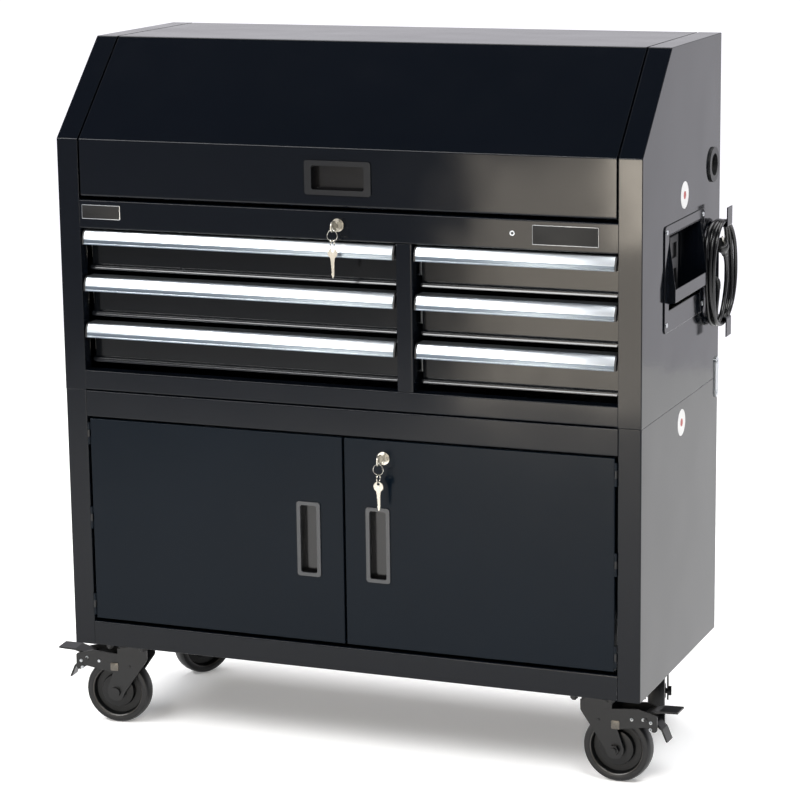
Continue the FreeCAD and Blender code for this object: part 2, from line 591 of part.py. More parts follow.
# ---- drawers ------------------------------------------------------------------------------
def drawer(name, bay, row):
    """One drawer: tray and folded front, inner slide members, and the full-width handle."""
    x0, x1 = bay
    top = BASE + DRAWER_TOP - row * DRAWER_PITCH
    bottom = top - DRAWER_FRONT_HEIGHT
    tray_x0, tray_x1 = x0 + SLIDE_WIDTH + 0.8, x1 - SLIDE_WIDTH - 0.8
    tray_z0, tray_z1 = bottom + 9, top - 12
    tray_rear = PANEL_Y + THIN + DRAWER_DEPTH
    shell = box(tray_x0, tray_x1, PANEL_Y + THIN, tray_rear, tray_z0, tray_z1)
    shell = shell.cut(box(tray_x0 + THIN, tray_x1 - THIN, PANEL_Y + 2 * THIN, tray_rear - THIN,
                          tray_z0 + THIN, tray_z1 + 5))
    front = bent_sheet([(PANEL_Y + 14, top - 4), (PANEL_Y, top - 4), (PANEL_Y, bottom + 8),
                        (PANEL_Y - 9, bottom + 8), (PANEL_Y - 9, bottom), (PANEL_Y + 2, bottom)],
                       "x", x0 + 5, x1 - 5, sheet=THIN, bend=1.6, inward=1)
    add(name, joined(shell, front))
    mid = (tray_z0 + tray_z1) / 2
    for side_x, way in ((tray_x0, -1), (tray_x1, 1)):
        a = side_x + way * GAP
        b = side_x + way * 4.4
        add(name, box(min(a, b), max(a, b), PANEL_Y + 6, tray_rear - 2, mid - 11, mid + 11))
        wall = x0 if way < 0 else x1
        c = wall - way * GAP
        d = wall - way * 7.6
        outer = bent_sheet([(d, mid - SLIDE_HEIGHT / 2), (c, mid - SLIDE_HEIGHT / 2),
                            (c, mid + SLIDE_HEIGHT / 2), (d, mid + SLIDE_HEIGHT / 2)],
                           "y", PANEL_Y + 8, tray_rear - 1, inward=way, bend=1.0, sheet=1.4)
        add("slide_channels", outer)

    grip = top
    lip = FRONT - 2
    seat = PANEL_Y - GAP
    bar = bent_sheet([(seat, grip - 16), (seat, grip), (FRONT + 7, grip), (lip, grip - 9),
                      (lip, grip - HANDLE_HEIGHT), (lip + 9, grip - HANDLE_HEIGHT)],
                     "x", x0 + 6.5, x1 - 6.5, sheet=1.8, bend=2.0, inward=1)
    add("handle_" + name, bar)
    cap = [(seat, grip - 16), (seat, grip, 1), (FRONT + 7, grip, 3.8), (lip, grip - 9, 3.8),
           (lip, grip - HANDLE_HEIGHT, 1), (lip + 9, grip - HANDLE_HEIGHT, 1), (lip + 14, grip - 16, 3)]
    add("handle_" + name, prism(cap, "x", x0 + 3.2, x0 + 6.4), prism(cap, "x", x1 - 6.4, x1 - 3.2))


def drawers():
    for side, bay in (("left", LEFT_BAY), ("right", RIGHT_BAY)):
        for row, level in enumerate(("top", "middle", "bottom")):
            drawer(f"drawer_{side}_{level}", bay, row)


# ---- doors --------------------------------------------------------------------------------
DOOR_EDGE = OPENING - 5.0
DOOR_MEET = 2.0
DOOR_AXIS_X = OPENING - 2.5
DOOR_AXIS_Y = FRONT - 0.6
PULLS = {"left": (-64.75, BASE + 228.8), "right": (61.85, BASE + 228.3)}
PULL_SIZE = (43.0, 130.0)
PULL_HOLE = (30.0, 118.0)
LOCKS = {"drawer": (-1.5, BASE + 769.0), "door": (74.0, BASE + 380.0)}
LOCK_BODY = 9.0
LOCK_PLUG = 6.2
CAM_Y = {"drawer": FRONT + 17.0, "door": FRONT + 20.5}
CAM_REACH = {"drawer": 18.0, "door": 30.0}
HINGE_HEIGHTS = (75.0, 232.0, 383.0)
HINGE_LENGTH = 39.0


def door(name, side):
    z0, z1 = BASE + DOOR_SPAN[0], BASE + DOOR_SPAN[1]
    x0, x1 = sorted((side * DOOR_MEET, side * DOOR_EDGE))
    panel = box(x0, x1, FRONT, FRONT + DOOR_THICKNESS, z0, z1)
    panel = panel.makeFillet(1.6, [e for e in panel.Edges if all(abs(v.Y - FRONT) < 0.1 for v in e.Vertexes)])
    panel = panel.cut(box(x0 + SHEET, x1 - SHEET, FRONT + SHEET, FRONT + DOOR_THICKNESS - SHEET,
                          z0 + SHEET, z1 - SHEET))
    panel = panel.cut(box(x0 + 16, x1 - 16, FRONT + 5, FRONT + DOOR_THICKNESS + 5, z0 + 16, z1 - 16))
    px, pz = PULLS[name]
    w, h = PULL_SIZE
    panel = panel.cut(box(px - w / 2 + 5, px + w / 2 - 5, FRONT - 3, FRONT + 5,
                          pz - h / 2 + 5, pz + h / 2 - 5))
    if name == "right":
        lx, lz = LOCKS["door"]
        panel = panel.cut(rod((lx, FRONT - 5, lz), (lx, FRONT + 5, lz), LOCK_BODY + 0.2))
        panel = panel.cut(box(lx - 12, lx + 12, FRONT + 8, FRONT + 30, lz - 12, lz + 12))
    add("door_" + name, panel)
    add("door_pull_" + name, recessed_pull(px, pz, PULL_SIZE, PULL_HOLE, 15.0))

    ax = side * DOOR_AXIS_X
    for height in HINGE_HEIGHTS:
        mid = BASE + height
        third = HINGE_LENGTH / 3
        pin = rod((ax, DOOR_AXIS_Y, mid - HINGE_LENGTH / 2), (ax, DOOR_AXIS_Y, mid + HINGE_LENGTH / 2), 1.2)
        middle = ring((ax, DOOR_AXIS_Y, mid - third / 2 + 0.2), (ax, DOOR_AXIS_Y, mid + third / 2 - 0.2), 2.3, 1.1)
        arm_x = sorted((ax + side * 1.5, side * (OPENING - 0.1)))
        arm = box(arm_x[0], arm_x[1], DOOR_AXIS_Y - 0.2, DOOR_AXIS_Y + 1.2,
                  mid - third / 2 + 0.2, mid + third / 2 - 0.2)
        plate_x = sorted((side * (OPENING - 0.1), side * (OPENING - 1.3)))
        plate = box(plate_x[0], plate_x[1], DOOR_AXIS_Y, FRONT + 20, mid - third / 2 + 0.2, mid + third / 2 - 0.2)
        add("hinge_leaves", joined(pin, middle, arm, plate))
        for low in (mid - HINGE_LENGTH / 2, mid + third / 2):
            knuckle = rod((ax, DOOR_AXIS_Y, low), (ax, DOOR_AXIS_Y, low + third), 2.3)
            tab_x = sorted((ax - side * 1.0, side * (DOOR_EDGE - 3)))
            tab = box(tab_x[0], tab_x[1], DOOR_AXIS_Y + 0.8, DOOR_AXIS_Y + 1.8, low, low + third)
            knuckle = joined(knuckle, tab)
            bore = rod((ax, DOOR_AXIS_Y, low - 1), (ax, DOOR_AXIS_Y, low + third + 1), 1.2 + RUNNING)
            add("door_" + name, knuckle.cut(bore).cut(panel))


def lock(name):
    """Fixed barrel in the sheet; the plug, its cam and the key in it turn together."""
    x, z = LOCKS[name]
    barrel = ring((x, FRONT + 0.02, z), (x, FRONT + 16, z), LOCK_BODY, LOCK_PLUG + RUNNING)
    collar = ring((x, FRONT - 3, z), (x, FRONT - 0.02, z), LOCK_BODY + 2, LOCK_PLUG + RUNNING)
    barrel = joined(barrel, ring((x, FRONT - 0.1, z), (x, FRONT + 0.1, z), LOCK_BODY, LOCK_PLUG + RUNNING), collar)
    plug = rod((x, FRONT - 3.6, z), (x, CAM_Y[name] + 2, z), LOCK_PLUG)
    cam = box(x - 5, x + 5, CAM_Y[name], CAM_Y[name] + 2, z - 6, z + CAM_REACH[name])
    blade = box(x - 1.1, x + 1.1, FRONT - 12, FRONT + 5, z - 4, z + 4)
    bow = prism([(FRONT - 31, z - 9, 7), (FRONT - 11, z - 9, 4), (FRONT - 11, z + 9, 4), (FRONT - 31, z + 9, 7)],
                "x", x - 1.1, x + 1.1)
    bow = bow.cut(rod((x - 3, FRONT - 25, z - 3), (x + 3, FRONT - 25, z - 3), 2.6))
    return barrel, joined(plug, cam, blade, bow)


def locks():
    for name in LOCKS:
        barrel, turning = lock(name)
        add("lock_barrel_" + name, barrel)
        add(name + "_key", turning)


# ---- casters ------------------------------------------------------------------------------
def caster_place(name):
    end, side = name.split("_")
    x = (HALF - CASTER_INSET_X) * (1 if side == "right" else -1)
    y = FRONT + CASTER_INSET_FRONT if end == "front" else REAR - CASTER_INSET_REAR
    return Vector(x, y, 0)


def place_caster(shape, name):
    """Pieces are built with the swivel axis on Z and the wheel trailing along +X."""
    copy = shape.copy()
    copy.rotate(Vector(0, 0, 0), Vector(0, 0, 1), CASTER_TURN[name])
    copy.translate(caster_place(name))
    return copy


LEG_GAP = WHEEL_WIDTH + 7.0
LEG = 3.0
PEDAL_PIVOT = (88.0, 117.0)


def caster_fork(braked):
    axle_z = WHEEL_RADIUS
    head = BASE - 17.0
    outline = [(-27, head, 0), (-27, head - 18, 10), (CASTER_TRAIL - 17, axle_z, 16), (CASTER_TRAIL - 10, axle_z - 16, 12),
               (CASTER_TRAIL + 10, axle_z - 16, 12), (CASTER_TRAIL + 17, axle_z, 16), (29, head - 18, 10), (29, head, 0)]
    pieces = []
    for y in (LEG_GAP / 2, -LEG_GAP / 2 - LEG):
        pieces.append(prism(outline, "y", y, y + LEG))
    crown = prism([(-27, -LEG_GAP / 2 - LEG, 8), (29, -LEG_GAP / 2 - LEG, 8), (29, LEG_GAP / 2 + LEG, 8),
                   (-27, LEG_GAP / 2 + LEG, 8)], "z", head - 0.5, head + 3)
    race = rod((0, 0, head + 3), (0, 0, BASE - 7), 24.0)
    pieces += [crown, race]
    if braked:
        for y in (LEG_GAP / 2, -LEG_GAP / 2 - LEG):
            plate = [(12, 128, 3), (76, 134, 3), (108, 126, 5), (108, 97, 5), (100, 97, 4), (88, 104, 4),
                     (34, 94, 5), (20, 98, 6)]
            pieces.append(prism(plate, "y", y - 0.4, y + LEG - 0.4))
    body = joined(*pieces)
    clear = LEG_GAP / 2 + LEG
    if braked:
        hole = rod((PEDAL_PIVOT[0], -clear - 5, PEDAL_PIVOT[1]), (PEDAL_PIVOT[0], clear + 5, PEDAL_PIVOT[1]), 3.0 + RUNNING)
        body = body.cut(hole)
    axle_hole = rod((CASTER_TRAIL, -clear - 5, axle_z), (CASTER_TRAIL, clear + 5, axle_z), AXLE_RADIUS + 0.02)
    body = body.cut(axle_hole)
    axle = rod((CASTER_TRAIL, -clear - 9, axle_z), (CASTER_TRAIL, clear + 3, axle_z), AXLE_RADIUS)
    nut_face = [(CASTER_TRAIL + 9 * math.cos(a), axle_z + 9 * math.sin(a))
                for a in (math.radians(60 * i) for i in range(6))]
    nut = prism(nut_face, "y", -clear - 6.5, -clear - 0.02)
    head_bolt = rod((CASTER_TRAIL, clear + 0.02, axle_z), (CASTER_TRAIL, clear + 5, axle_z), 8.5)
    return [body, joined(axle, nut, head_bolt)]


def caster_wheel():
    """Rubber tyre and moulded hub with a dished face, turned about the axle."""
    half = WHEEL_WIDTH / 2
    profile = [(AXLE_RADIUS + RUNNING, -half - 1.5), (15, -half - 1.5), (15, -half + 4), (37, -half + 4),
               (39, -half, 1.0), (WHEEL_RADIUS - 5, -half, 3), (WHEEL_RADIUS, -half + 5, 3),
               (WHEEL_RADIUS, half - 5, 3), (WHEEL_RADIUS - 5, half, 3), (39, half, 1.0), (37, half - 4),
               (15, half - 4), (15, half + 1.5), (AXLE_RADIUS + RUNNING, half + 1.5)]
    corners = [p if len(p) == 3 else (p[0], p[1], 0.0) for p in profile]
    wheel = rounded_face(corners).revolve(Vector(0, 0, 0), Vector(0, 1, 0), 360)
    wheel.translate(Vector(CASTER_TRAIL, 0, WHEEL_RADIUS))
    return wheel


def caster_pedal():
    """Brake pedal: a hub on its pin, an upper tongue to press and a lower one to lift."""
    u, z = PEDAL_PIVOT
    half = LEG_GAP / 2 - 1.2
    hub = rod((u, -half, z), (u, half, z), 6.5)
    pin = rod((u, -half - LEG - 3, z), (u, half + LEG + 3, z), 3.0)
    upper = prism([(u, z + 3), (u + 2, z + 6.5), (u + 24, z + 13), (u + 54, z + 15), (u + 54, z + 18),
                   (u + 22, z + 16.5), (u - 6, z + 8)], "y", -half, half)
    lower = prism([(u + 3, z - 5), (u + 14, z - 10), (u + 24, z - 18), (u + 33, z - 38), (u + 36, z - 37),
                   (u + 27, z - 16), (u + 16, z - 6), (u + 5, z + 1)], "y", -13, 13)
    return joined(hub, pin, upper, lower)


def casters():
    for name in CASTER_TURN:
        braked = name.startswith("front")
        for piece in caster_fork(braked):
            add("fork_" + name, place_caster(piece, name))
        add("wheel_" + name, place_caster(caster_wheel(), name))
        if braked:
            add("pedal_" + name, place_caster(caster_pedal(), name))
        place = caster_place(name)
        plate = prism([(-42, -50, 6), (42, -50, 6), (42, 50, 6), (-42, 50, 6)], "z", BASE - 3.5, BASE - 0.02)
        cup = rod((0, 0, BASE - 6.6), (0, 0, BASE - 3.4), 30.0)
        holes = []
        for x in (-32, 32):
            for y in (-40, 40):
                holes.append(rod((x, y, BASE - 10), (x, y, BASE + 10), 4.3))
                bolt = rod((x, y, BASE - 12), (x, y, BASE - 3.6), 4.0)
                nut = prism([(x + 7 * math.cos(math.radians(60 * i)), y + 7 * math.sin(math.radians(60 * i)))
                             for i in range(6)], "z", BASE - 9.5, BASE - 3.6)
                add("caster_plates", moved(joined(bolt, nut), place.x, place.y))
        add("caster_plates", moved(joined(plate, cup).cut(holes), place.x, place.y))


base_cabinet()
top_chest()
side_fittings()
cord()
lid()
struts()
drawers()
door("left", -1)
door("right", 1)
locks()
casters()

# ---- fixed lid hinge leaf, on the back panel ----------------------------------------------
fixed_leaf = box(-LID_HALF + 20, LID_HALF - 20, REAR - 2 * SHEET - GAP - 1.2, REAR - 2 * SHEET - GAP - 0.1,
                 TOP - 40, LID_AXIS.z - 1)
fixed = fixed_leaf.fuse([lid_knuckle(i) for i in range(1, 8, 2)]).removeSplitter()
for i in range(0, 8, 2):
    fixed = fixed.cut(lid_knuckle_room(i))
hinge_pin = rod((-LID_HALF + 28, LID_AXIS.y, LID_AXIS.z), (LID_HALF - 28, LID_AXIS.y, LID_AXIS.z), 1.5)
add("hinge_leaves", joined(fixed, hinge_pin))

# ---- origin: middle of the footprint, on the floor ----------------------------------------
CORD_NODES = ("cord_lead", "cord_coil", "cord_tail", "cord_plug")
body = Part.makeCompound([s for name, solids in parts.items() if name not in CORD_NODES for s in solids])
extent = body.optimalBoundingBox(False, False)
origin = Vector((extent.XMin + extent.XMax) / 2, (extent.YMin + extent.YMax) / 2, extent.ZMin)
print("extent", extent, "origin", origin)

os.makedirs("parts", exist_ok=True)
for name, solids in parts.items():
    shape = solids[0] if len(solids) == 1 else Part.makeCompound(solids)
    shape = shape.copy()
    shape.translate(-origin)
    shape.exportStep(f"parts/{name}.step")
print(len(parts), "nodes")
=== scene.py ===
"""Looks of a rolling tool chest: six drawers under a sloped lid, on a two-door base cabinet with
casters. Metres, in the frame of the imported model: +X to the user's right, +Y to the rear, +Z up."""

import json
import math

import bmesh
import bpy
from mathutils import Matrix, Quaternion, Vector


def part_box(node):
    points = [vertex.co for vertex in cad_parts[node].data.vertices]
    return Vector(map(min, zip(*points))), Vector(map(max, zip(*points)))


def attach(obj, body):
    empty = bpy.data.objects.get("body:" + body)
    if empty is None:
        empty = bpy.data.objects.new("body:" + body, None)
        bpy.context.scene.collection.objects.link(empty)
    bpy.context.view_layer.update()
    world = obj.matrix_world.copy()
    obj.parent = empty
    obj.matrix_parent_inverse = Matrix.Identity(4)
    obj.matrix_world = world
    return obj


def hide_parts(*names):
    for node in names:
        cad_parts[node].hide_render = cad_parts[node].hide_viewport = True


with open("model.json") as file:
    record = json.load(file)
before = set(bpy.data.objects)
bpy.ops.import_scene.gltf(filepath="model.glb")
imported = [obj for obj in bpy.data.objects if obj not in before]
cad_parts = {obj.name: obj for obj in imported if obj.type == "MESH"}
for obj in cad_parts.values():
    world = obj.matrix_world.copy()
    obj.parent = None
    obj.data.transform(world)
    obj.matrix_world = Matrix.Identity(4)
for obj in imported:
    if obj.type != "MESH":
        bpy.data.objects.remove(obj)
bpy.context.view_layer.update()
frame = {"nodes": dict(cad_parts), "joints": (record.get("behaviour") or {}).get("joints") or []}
nodes = frame["nodes"]
joints = {joint["name"]: joint for joint in frame["joints"]}
for node in nodes.values():
    node.data.materials.clear()

LEVELS = ("top", "middle", "bottom")
PULL_RIM_Y, PULL_SHADE_Y = -0.2166, -0.2120     # a pull's rim, and the depth where the painted shade inside a pull reaches its darkest
PLATE_Y = -0.2154                             # middle of the plates' thickness
LAMP_Y = -0.2150                              # the lamp's seat on the top rail
KEYS_Y = -0.240                               # where the hanging keys hang
DISC_X = 0.52076                              # the discs' seat on the right side
RELIEF_LENGTH = 0.026                         # of the cord's strain relief
CAP_THICKNESS = 0.0032                        # of a handle's end cap
NOSE_RADIUS = 0.0011                          # of a drawer's rolled edge
CASTERS = ("front_left", "front_right", "rear_left", "rear_right")


# ---- camera -------------------------------------------------------------------------------
def make_camera():
    """A long lens from the front right, a little above the lid and rolled a touch clockwise."""
    azimuth = math.radians(21.77)
    elevation = math.radians(12.16)
    roll = math.radians(-0.745)
    back = Vector((math.sin(azimuth) * math.cos(elevation),
                   -math.cos(azimuth) * math.cos(elevation),
                   math.sin(elevation)))
    data = bpy.data.cameras.new("camera")
    data.sensor_width = 36.0
    data.lens = 125.47
    data.clip_end = 200.0
    camera = bpy.data.objects.new("camera", data)
    bpy.context.scene.collection.objects.link(camera)
    target = Vector((0.0188, 0.0, 0.5883))
    distance = 4.853
    camera.location = target + back * distance
    camera.rotation_mode = "QUATERNION"
    camera.rotation_quaternion = (-back).to_track_quat("-Z", "Y") @ Quaternion((0, 0, 1), roll)
    bpy.context.scene.camera = camera


# ---- modelling steps ----------------------------------------------------------------------
def select_only(piece):
    bpy.ops.object.select_all(action="DESELECT")
    piece.select_set(True)
    bpy.context.view_layer.objects.active = piece


def newest(name):
    """The primitive just added, named and alone in the selection."""
    piece = bpy.context.active_object
    piece.name = name
    piece.data.name = name
    select_only(piece)
    return piece


def pick(piece, kind, test):
    """In edit mode, selects only the items of a kind whose centre and normal pass the test."""
    bpy.ops.mesh.select_mode(type={"verts": "VERT", "edges": "EDGE", "faces": "FACE"}[kind])
    bpy.ops.mesh.select_all(action="DESELECT")
    mesh = bmesh.from_edit_mesh(piece.data)
    for item in getattr(mesh, kind):
        if kind == "verts":
            centre, normal = item.co, item.normal
        elif kind == "edges":
            centre = (item.verts[0].co + item.verts[1].co) / 2
            normal = (item.verts[1].co - item.verts[0].co).normalized()
        else:
            centre, normal = item.calc_center_median(), item.normal
        if test(centre, normal):
            item.select_set(True)
    mesh.select_flush_mode()
    bmesh.update_edit_mesh(piece.data)


def modify(piece, kind, **settings):
    select_only(piece)
    modifier = piece.modifiers.new(kind.lower(), kind)
    for name, value in settings.items():
        setattr(modifier, name, value)
    bpy.ops.object.modifier_apply(modifier=modifier.name)


def join(name, pieces):
    bpy.ops.object.select_all(action="DESELECT")
    for piece in pieces:
        piece.select_set(True)
    bpy.context.view_layer.objects.active = pieces[0]
    if len(pieces) > 1:
        bpy.ops.object.join()
    return newest(name)


def twin(piece, name, place):
    """A copy with its own mesh, moved by a matrix."""
    data = piece.data.copy()
    data.transform(place)
    copy = bpy.data.objects.new(name, data)
    bpy.context.scene.collection.objects.link(copy)
    return copy


def drawn(name, points, closed):
    """A line of points in the plane x = 0, as (y, z) pairs: a circle whose points are put in
    place."""
    bpy.ops.mesh.primitive_circle_add(vertices=len(points), radius=0.01)
    line = newest(name)
    bpy.ops.object.mode_set(mode="EDIT")
    mesh = bmesh.from_edit_mesh(line.data)
    mesh.verts.ensure_lookup_table()
    for vert, (y, z) in zip(mesh.verts, points):
        vert.co = (0.0, y, z)
    if not closed:
        last, first = mesh.verts[len(points) - 1], mesh.verts[0]
        mesh.edges.remove(mesh.edges.get((first, last)))
    bmesh.update_edit_mesh(line.data)
    return line


def plate(name, points, thickness, bevel=0.0):
    """A flat plate cut to an outline of (y, z) points, centred on x = 0."""
    piece = drawn(name, points, closed=True)
    bpy.ops.mesh.select_all(action="SELECT")
    bpy.ops.mesh.edge_face_add()
    bpy.ops.transform.translate(value=(-thickness / 2, 0, 0))
    bpy.ops.mesh.extrude_region_move(TRANSFORM_OT_translate={"value": (thickness, 0, 0)})
    bpy.ops.mesh.select_all(action="SELECT")
    bpy.ops.mesh.normals_make_consistent(inside=False)
    bpy.ops.object.mode_set(mode="OBJECT")
    if bevel:
        modify(piece, "BEVEL", width=bevel, segments=2, limit_method="ANGLE",
               angle_limit=math.radians(40))
    return piece


def turned(name, profile, steps=48, closed=False):
    """A shape turned about the X axis from a profile of (radius, x) points."""
    piece = drawn(name, [(0.0, 0.0)] * len(profile), closed)
    mesh = bmesh.from_edit_mesh(piece.data)
    mesh.verts.ensure_lookup_table()
    for vert, (radius, x) in zip(mesh.verts, profile):
        vert.co = (x, radius, 0.0)
    bmesh.update_edit_mesh(piece.data)
    bpy.ops.mesh.select_all(action="SELECT")
    bpy.ops.mesh.spin(steps=steps, angle=math.tau, center=(0, 0, 0), axis=(1, 0, 0))
    bpy.ops.mesh.select_all(action="SELECT")
    bpy.ops.mesh.remove_doubles(threshold=0.00001)
    bpy.ops.mesh.normals_make_consistent(inside=False)
    bpy.ops.object.mode_set(mode="OBJECT")
    return piece


def rounded(corners, segments=6):
    """(y, z) outline points from (y, z, radius) corners, each rounded by an arc."""
    outline = []
    for index, (y, z, radius) in enumerate(corners):
        here = Vector((y, z))
        before = (Vector(corners[index - 1][:2]) - here).normalized()
        after = (Vector(corners[(index + 1) % len(corners)][:2]) - here).normalized()
        if radius == 0.0:
            outline.append((y, z))
            continue
        half = before.angle(after) / 2
        centre = here + (before + after).normalized() * (radius / math.sin(half))
        start = here + before * (radius / math.tan(half)) - centre
        end = here + after * (radius / math.tan(half)) - centre
        for step in range(segments + 1):
            arm = start.lerp(end, step / segments).normalized() * radius
            outline.append(tuple(centre + arm))
    return outline


def finish_piece(piece, material, body, smooth=30):
    """Smooth shading, material and body of a new piece."""
    select_only(piece)
    bpy.ops.object.shade_smooth_by_angle(angle=math.radians(smooth))
    piece.data.materials.clear()
    piece.data.materials.append(material)
    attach(piece, body)
    return piece


def turn_about_z(angle):
    return Matrix.Rotation(angle, 4, "Z")


FACING_FRONT = turn_about_z(-math.pi / 2)     # +X of a turned shape comes to point to the front


# ---- materials ----------------------------------------------------------------------------
def colour(code):
    """Linear colour of an sRGB hex value."""
    shares = [int(code[i:i + 2], 16) / 255 for i in (1, 3, 5)]
    return (*[s / 12.92 if s <= 0.04045 else ((s + 0.055) / 1.055) ** 2.4 for s in shares], 1.0)


def node_in(owner, kind, inputs=(), **settings):
    """Adds a node with its settings, its input values and its links."""
    tree = owner.node_tree
    added = tree.nodes.new(kind)
    for name, value in settings.items():
        setattr(added, name, value)
    for name, value in dict(inputs).items():
        if isinstance(value, bpy.types.NodeSocket):
            tree.links.new(value, added.inputs[name])
        else:
            added.inputs[name].default_value = value
    return added


def shaded(name, **values):
    """A new material and its surface shader, with plain values on the shader's sockets."""
    material = bpy.data.materials.new(name)
    material.use_nodes = True
    shader = material.node_tree.nodes["Principled BSDF"]
    for socket, value in values.items():
        shader.inputs[socket.replace("_", " ")].default_value = value
    return material, shader


def link(material, output, shader, socket):
    material.node_tree.links.new(output, shader.inputs[socket])


def rolled_paint(name, base, lighter, gloss, index, peel, wave):
    """Enamel sprayed on folded sheet steel. The sheet is never quite flat, so reflections bend
    slowly over a hand's width, the enamel dries with a fine orange peel, and each fold is
    rounded enough to draw a thin line of light."""
    material, shader = shaded(name, Metallic=0.0, IOR=index)
    place = node_in(material, "ShaderNodeTexCoord").outputs["Object"]
    tint = node_in(material, "ShaderNodeTexNoise", {"Vector": place, "Scale": 1 / 0.35,
                                                    "Detail": 2.0})
    mix = node_in(material, "ShaderNodeMix", {"Factor": tint.outputs["Fac"]}, data_type="RGBA")
    mix.inputs["A"].default_value = colour(base)
    mix.inputs["B"].default_value = colour(lighter)
    link(material, mix.outputs["Result"], shader, "Base Color")
    smear = node_in(material, "ShaderNodeTexNoise", {"Vector": place, "Scale": 1 / 0.06,
                                                     "Detail": 4.0})
    spread = node_in(material, "ShaderNodeMapRange", {"Value": smear.outputs["Fac"],
                                                      "From Min": 0.3,
                                                      "From Max": 0.7, "To Min": gloss * 0.8,
                                                      "To Max": gloss * 1.25})
    link(material, spread.outputs["Result"], shader, "Roughness")
    slow = node_in(material, "ShaderNodeTexNoise", {"Vector": place, "Scale": 1 / 0.16,
                                                    "Detail": 1.0})
    fine = node_in(material, "ShaderNodeTexNoise", {"Vector": place, "Scale": 1 / 0.004,
                                                    "Detail": 2.0})
    bend = node_in(material, "ShaderNodeBevel", {"Radius": 0.0016}, samples=4)
    waves = node_in(material, "ShaderNodeBump", {"Height": slow.outputs["Fac"], "Strength": 1.0,
                                                 "Distance": wave,
                                                 "Normal": bend.outputs["Normal"]})
    skin = node_in(material, "ShaderNodeBump", {"Height": fine.outputs["Fac"], "Strength": 1.0,
                                                "Distance": peel,
                                                "Normal": waves.outputs["Normal"]})
    link(material, skin.outputs["Normal"], shader, "Normal")
    return material


def body_enamel():
    """Gloss black enamel of the frames, sides and lid: sharp reflections on a near-black ground."""
    return rolled_paint("black_gloss_enamel", "#06090e", "#080b11", 0.09, 1.29, 0.00001, 0.0010)


def door_enamel():
    """The same enamel on the doors, rolled flatter and a touch blue, so it only glows softly."""
    return rolled_paint("blue_black_enamel", "#050b12", "#081018", 0.18, 1.20, 0.00001, 0.0005)


def drawer_enamel():
    """Black enamel of the drawer fronts, glossier because the panels are small and flat."""
    return rolled_paint("drawer_front_enamel", "#06080b", "#090b0e", 0.12, 1.33, 0.00001, 0.0004)


def speckled(name, base, spots, size, rough, rough_to, metallic, index=1.5, relief=0.0):
    """A finish with fine mottling at a real size: colour, roughness and relief follow one noise."""
    material, shader = shaded(name, Metallic=metallic, IOR=index)
    place = node_in(material, "ShaderNodeTexCoord").outputs["Object"]
    grain = node_in(material, "ShaderNodeTexNoise", {"Vector": place, "Scale": 1 / size,
                                                     "Detail": 3.0})
    mix = node_in(material, "ShaderNodeMix", {"Factor": grain.outputs["Fac"]}, data_type="RGBA")
    mix.inputs["A"].default_value = colour(base)
    mix.inputs["B"].default_value = colour(spots)
    link(material, mix.outputs["Result"], shader, "Base Color")
    spread = node_in(material, "ShaderNodeMapRange", {"Value": grain.outputs["Fac"],
                                                      "To Min": rough,
                                                      "To Max": rough_to})
    link(material, spread.outputs["Result"], shader, "Roughness")
    if relief:
        bump = node_in(material, "ShaderNodeBump", {"Height": grain.outputs["Fac"],
                                                    "Strength": 1.0,
                                                    "Distance": relief})
        link(material, bump.outputs["Normal"], shader, "Normal")
    return material


def moulded_pull(name, rim, cup_shade, gloss):
    """Moulded ABS pull: a satin rim, and painted shade inside: the colour is painted darker with
    depth into the hollow, to nearly black.
    """
    material, shader = shaded(name, Metallic=0.0, IOR=1.5)
    place = node_in(material, "ShaderNodeTexCoord").outputs["Object"]
    split = node_in(material, "ShaderNodeSeparateXYZ", {"Vector": place})
    # painted shade: the colour goes from the rim's colour to near black with depth into the pull
    depth = node_in(material, "ShaderNodeMapRange",
                    {"Value": split.outputs["Y"], "From Min": PULL_RIM_Y,
                                                     "From Max": PULL_SHADE_Y})
    mix = node_in(material, "ShaderNodeMix", {"Factor": depth.outputs["Result"]}, data_type="RGBA")
    mix.inputs["A"].default_value = colour(rim)
    mix.inputs["B"].default_value = colour(cup_shade)
    link(material, mix.outputs["Result"], shader, "Base Color")
    smooth = node_in(material, "ShaderNodeMapRange", {"Value": depth.outputs["Result"],
                                                      "To Min": gloss,
                                                      "To Max": 0.16})
    link(material, smooth.outputs["Result"], shader, "Roughness")
    grain = node_in(material, "ShaderNodeTexNoise", {"Vector": place, "Scale": 1 / 0.0012,
                                                     "Detail": 2.0})
    bump = node_in(material, "ShaderNodeBump", {"Height": grain.outputs["Fac"], "Strength": 1.0,
                                                "Distance": 0.00003})
    link(material, bump.outputs["Normal"], shader, "Normal")
    return material


def brushed_aluminium():
    """Anodised aluminium, brushed along its length: a white sheen, streaked along X."""
    material, shader = shaded("anodised_aluminium", Metallic=1.0)
    place = node_in(material, "ShaderNodeTexCoord").outputs["Object"]
    along = node_in(material, "ShaderNodeMapping", {"Vector": place, "Scale": (0.02, 1.0, 1.0)})
    # brush lines 0.2 mm apart, drawn 0.8 mm apart so that they just show
    lines = node_in(material, "ShaderNodeTexNoise", {"Vector": along.outputs["Vector"],
                                                     "Scale": 1 / 0.0008,
                                                     "Detail": 2.0})
    mix = node_in(material, "ShaderNodeMix", {"Factor": lines.outputs["Fac"]}, data_type="RGBA")
    mix.inputs["A"].default_value = colour("#d6dce2")
    mix.inputs["B"].default_value = colour("#dfe5ea")
    link(material, mix.outputs["Result"], shader, "Base Color")
    spread = node_in(material, "ShaderNodeMapRange", {"Value": lines.outputs["Fac"],
                                                      "To Min": 0.27,
                                                      "To Max": 0.31})
    link(material, spread.outputs["Result"], shader, "Roughness")
    return material


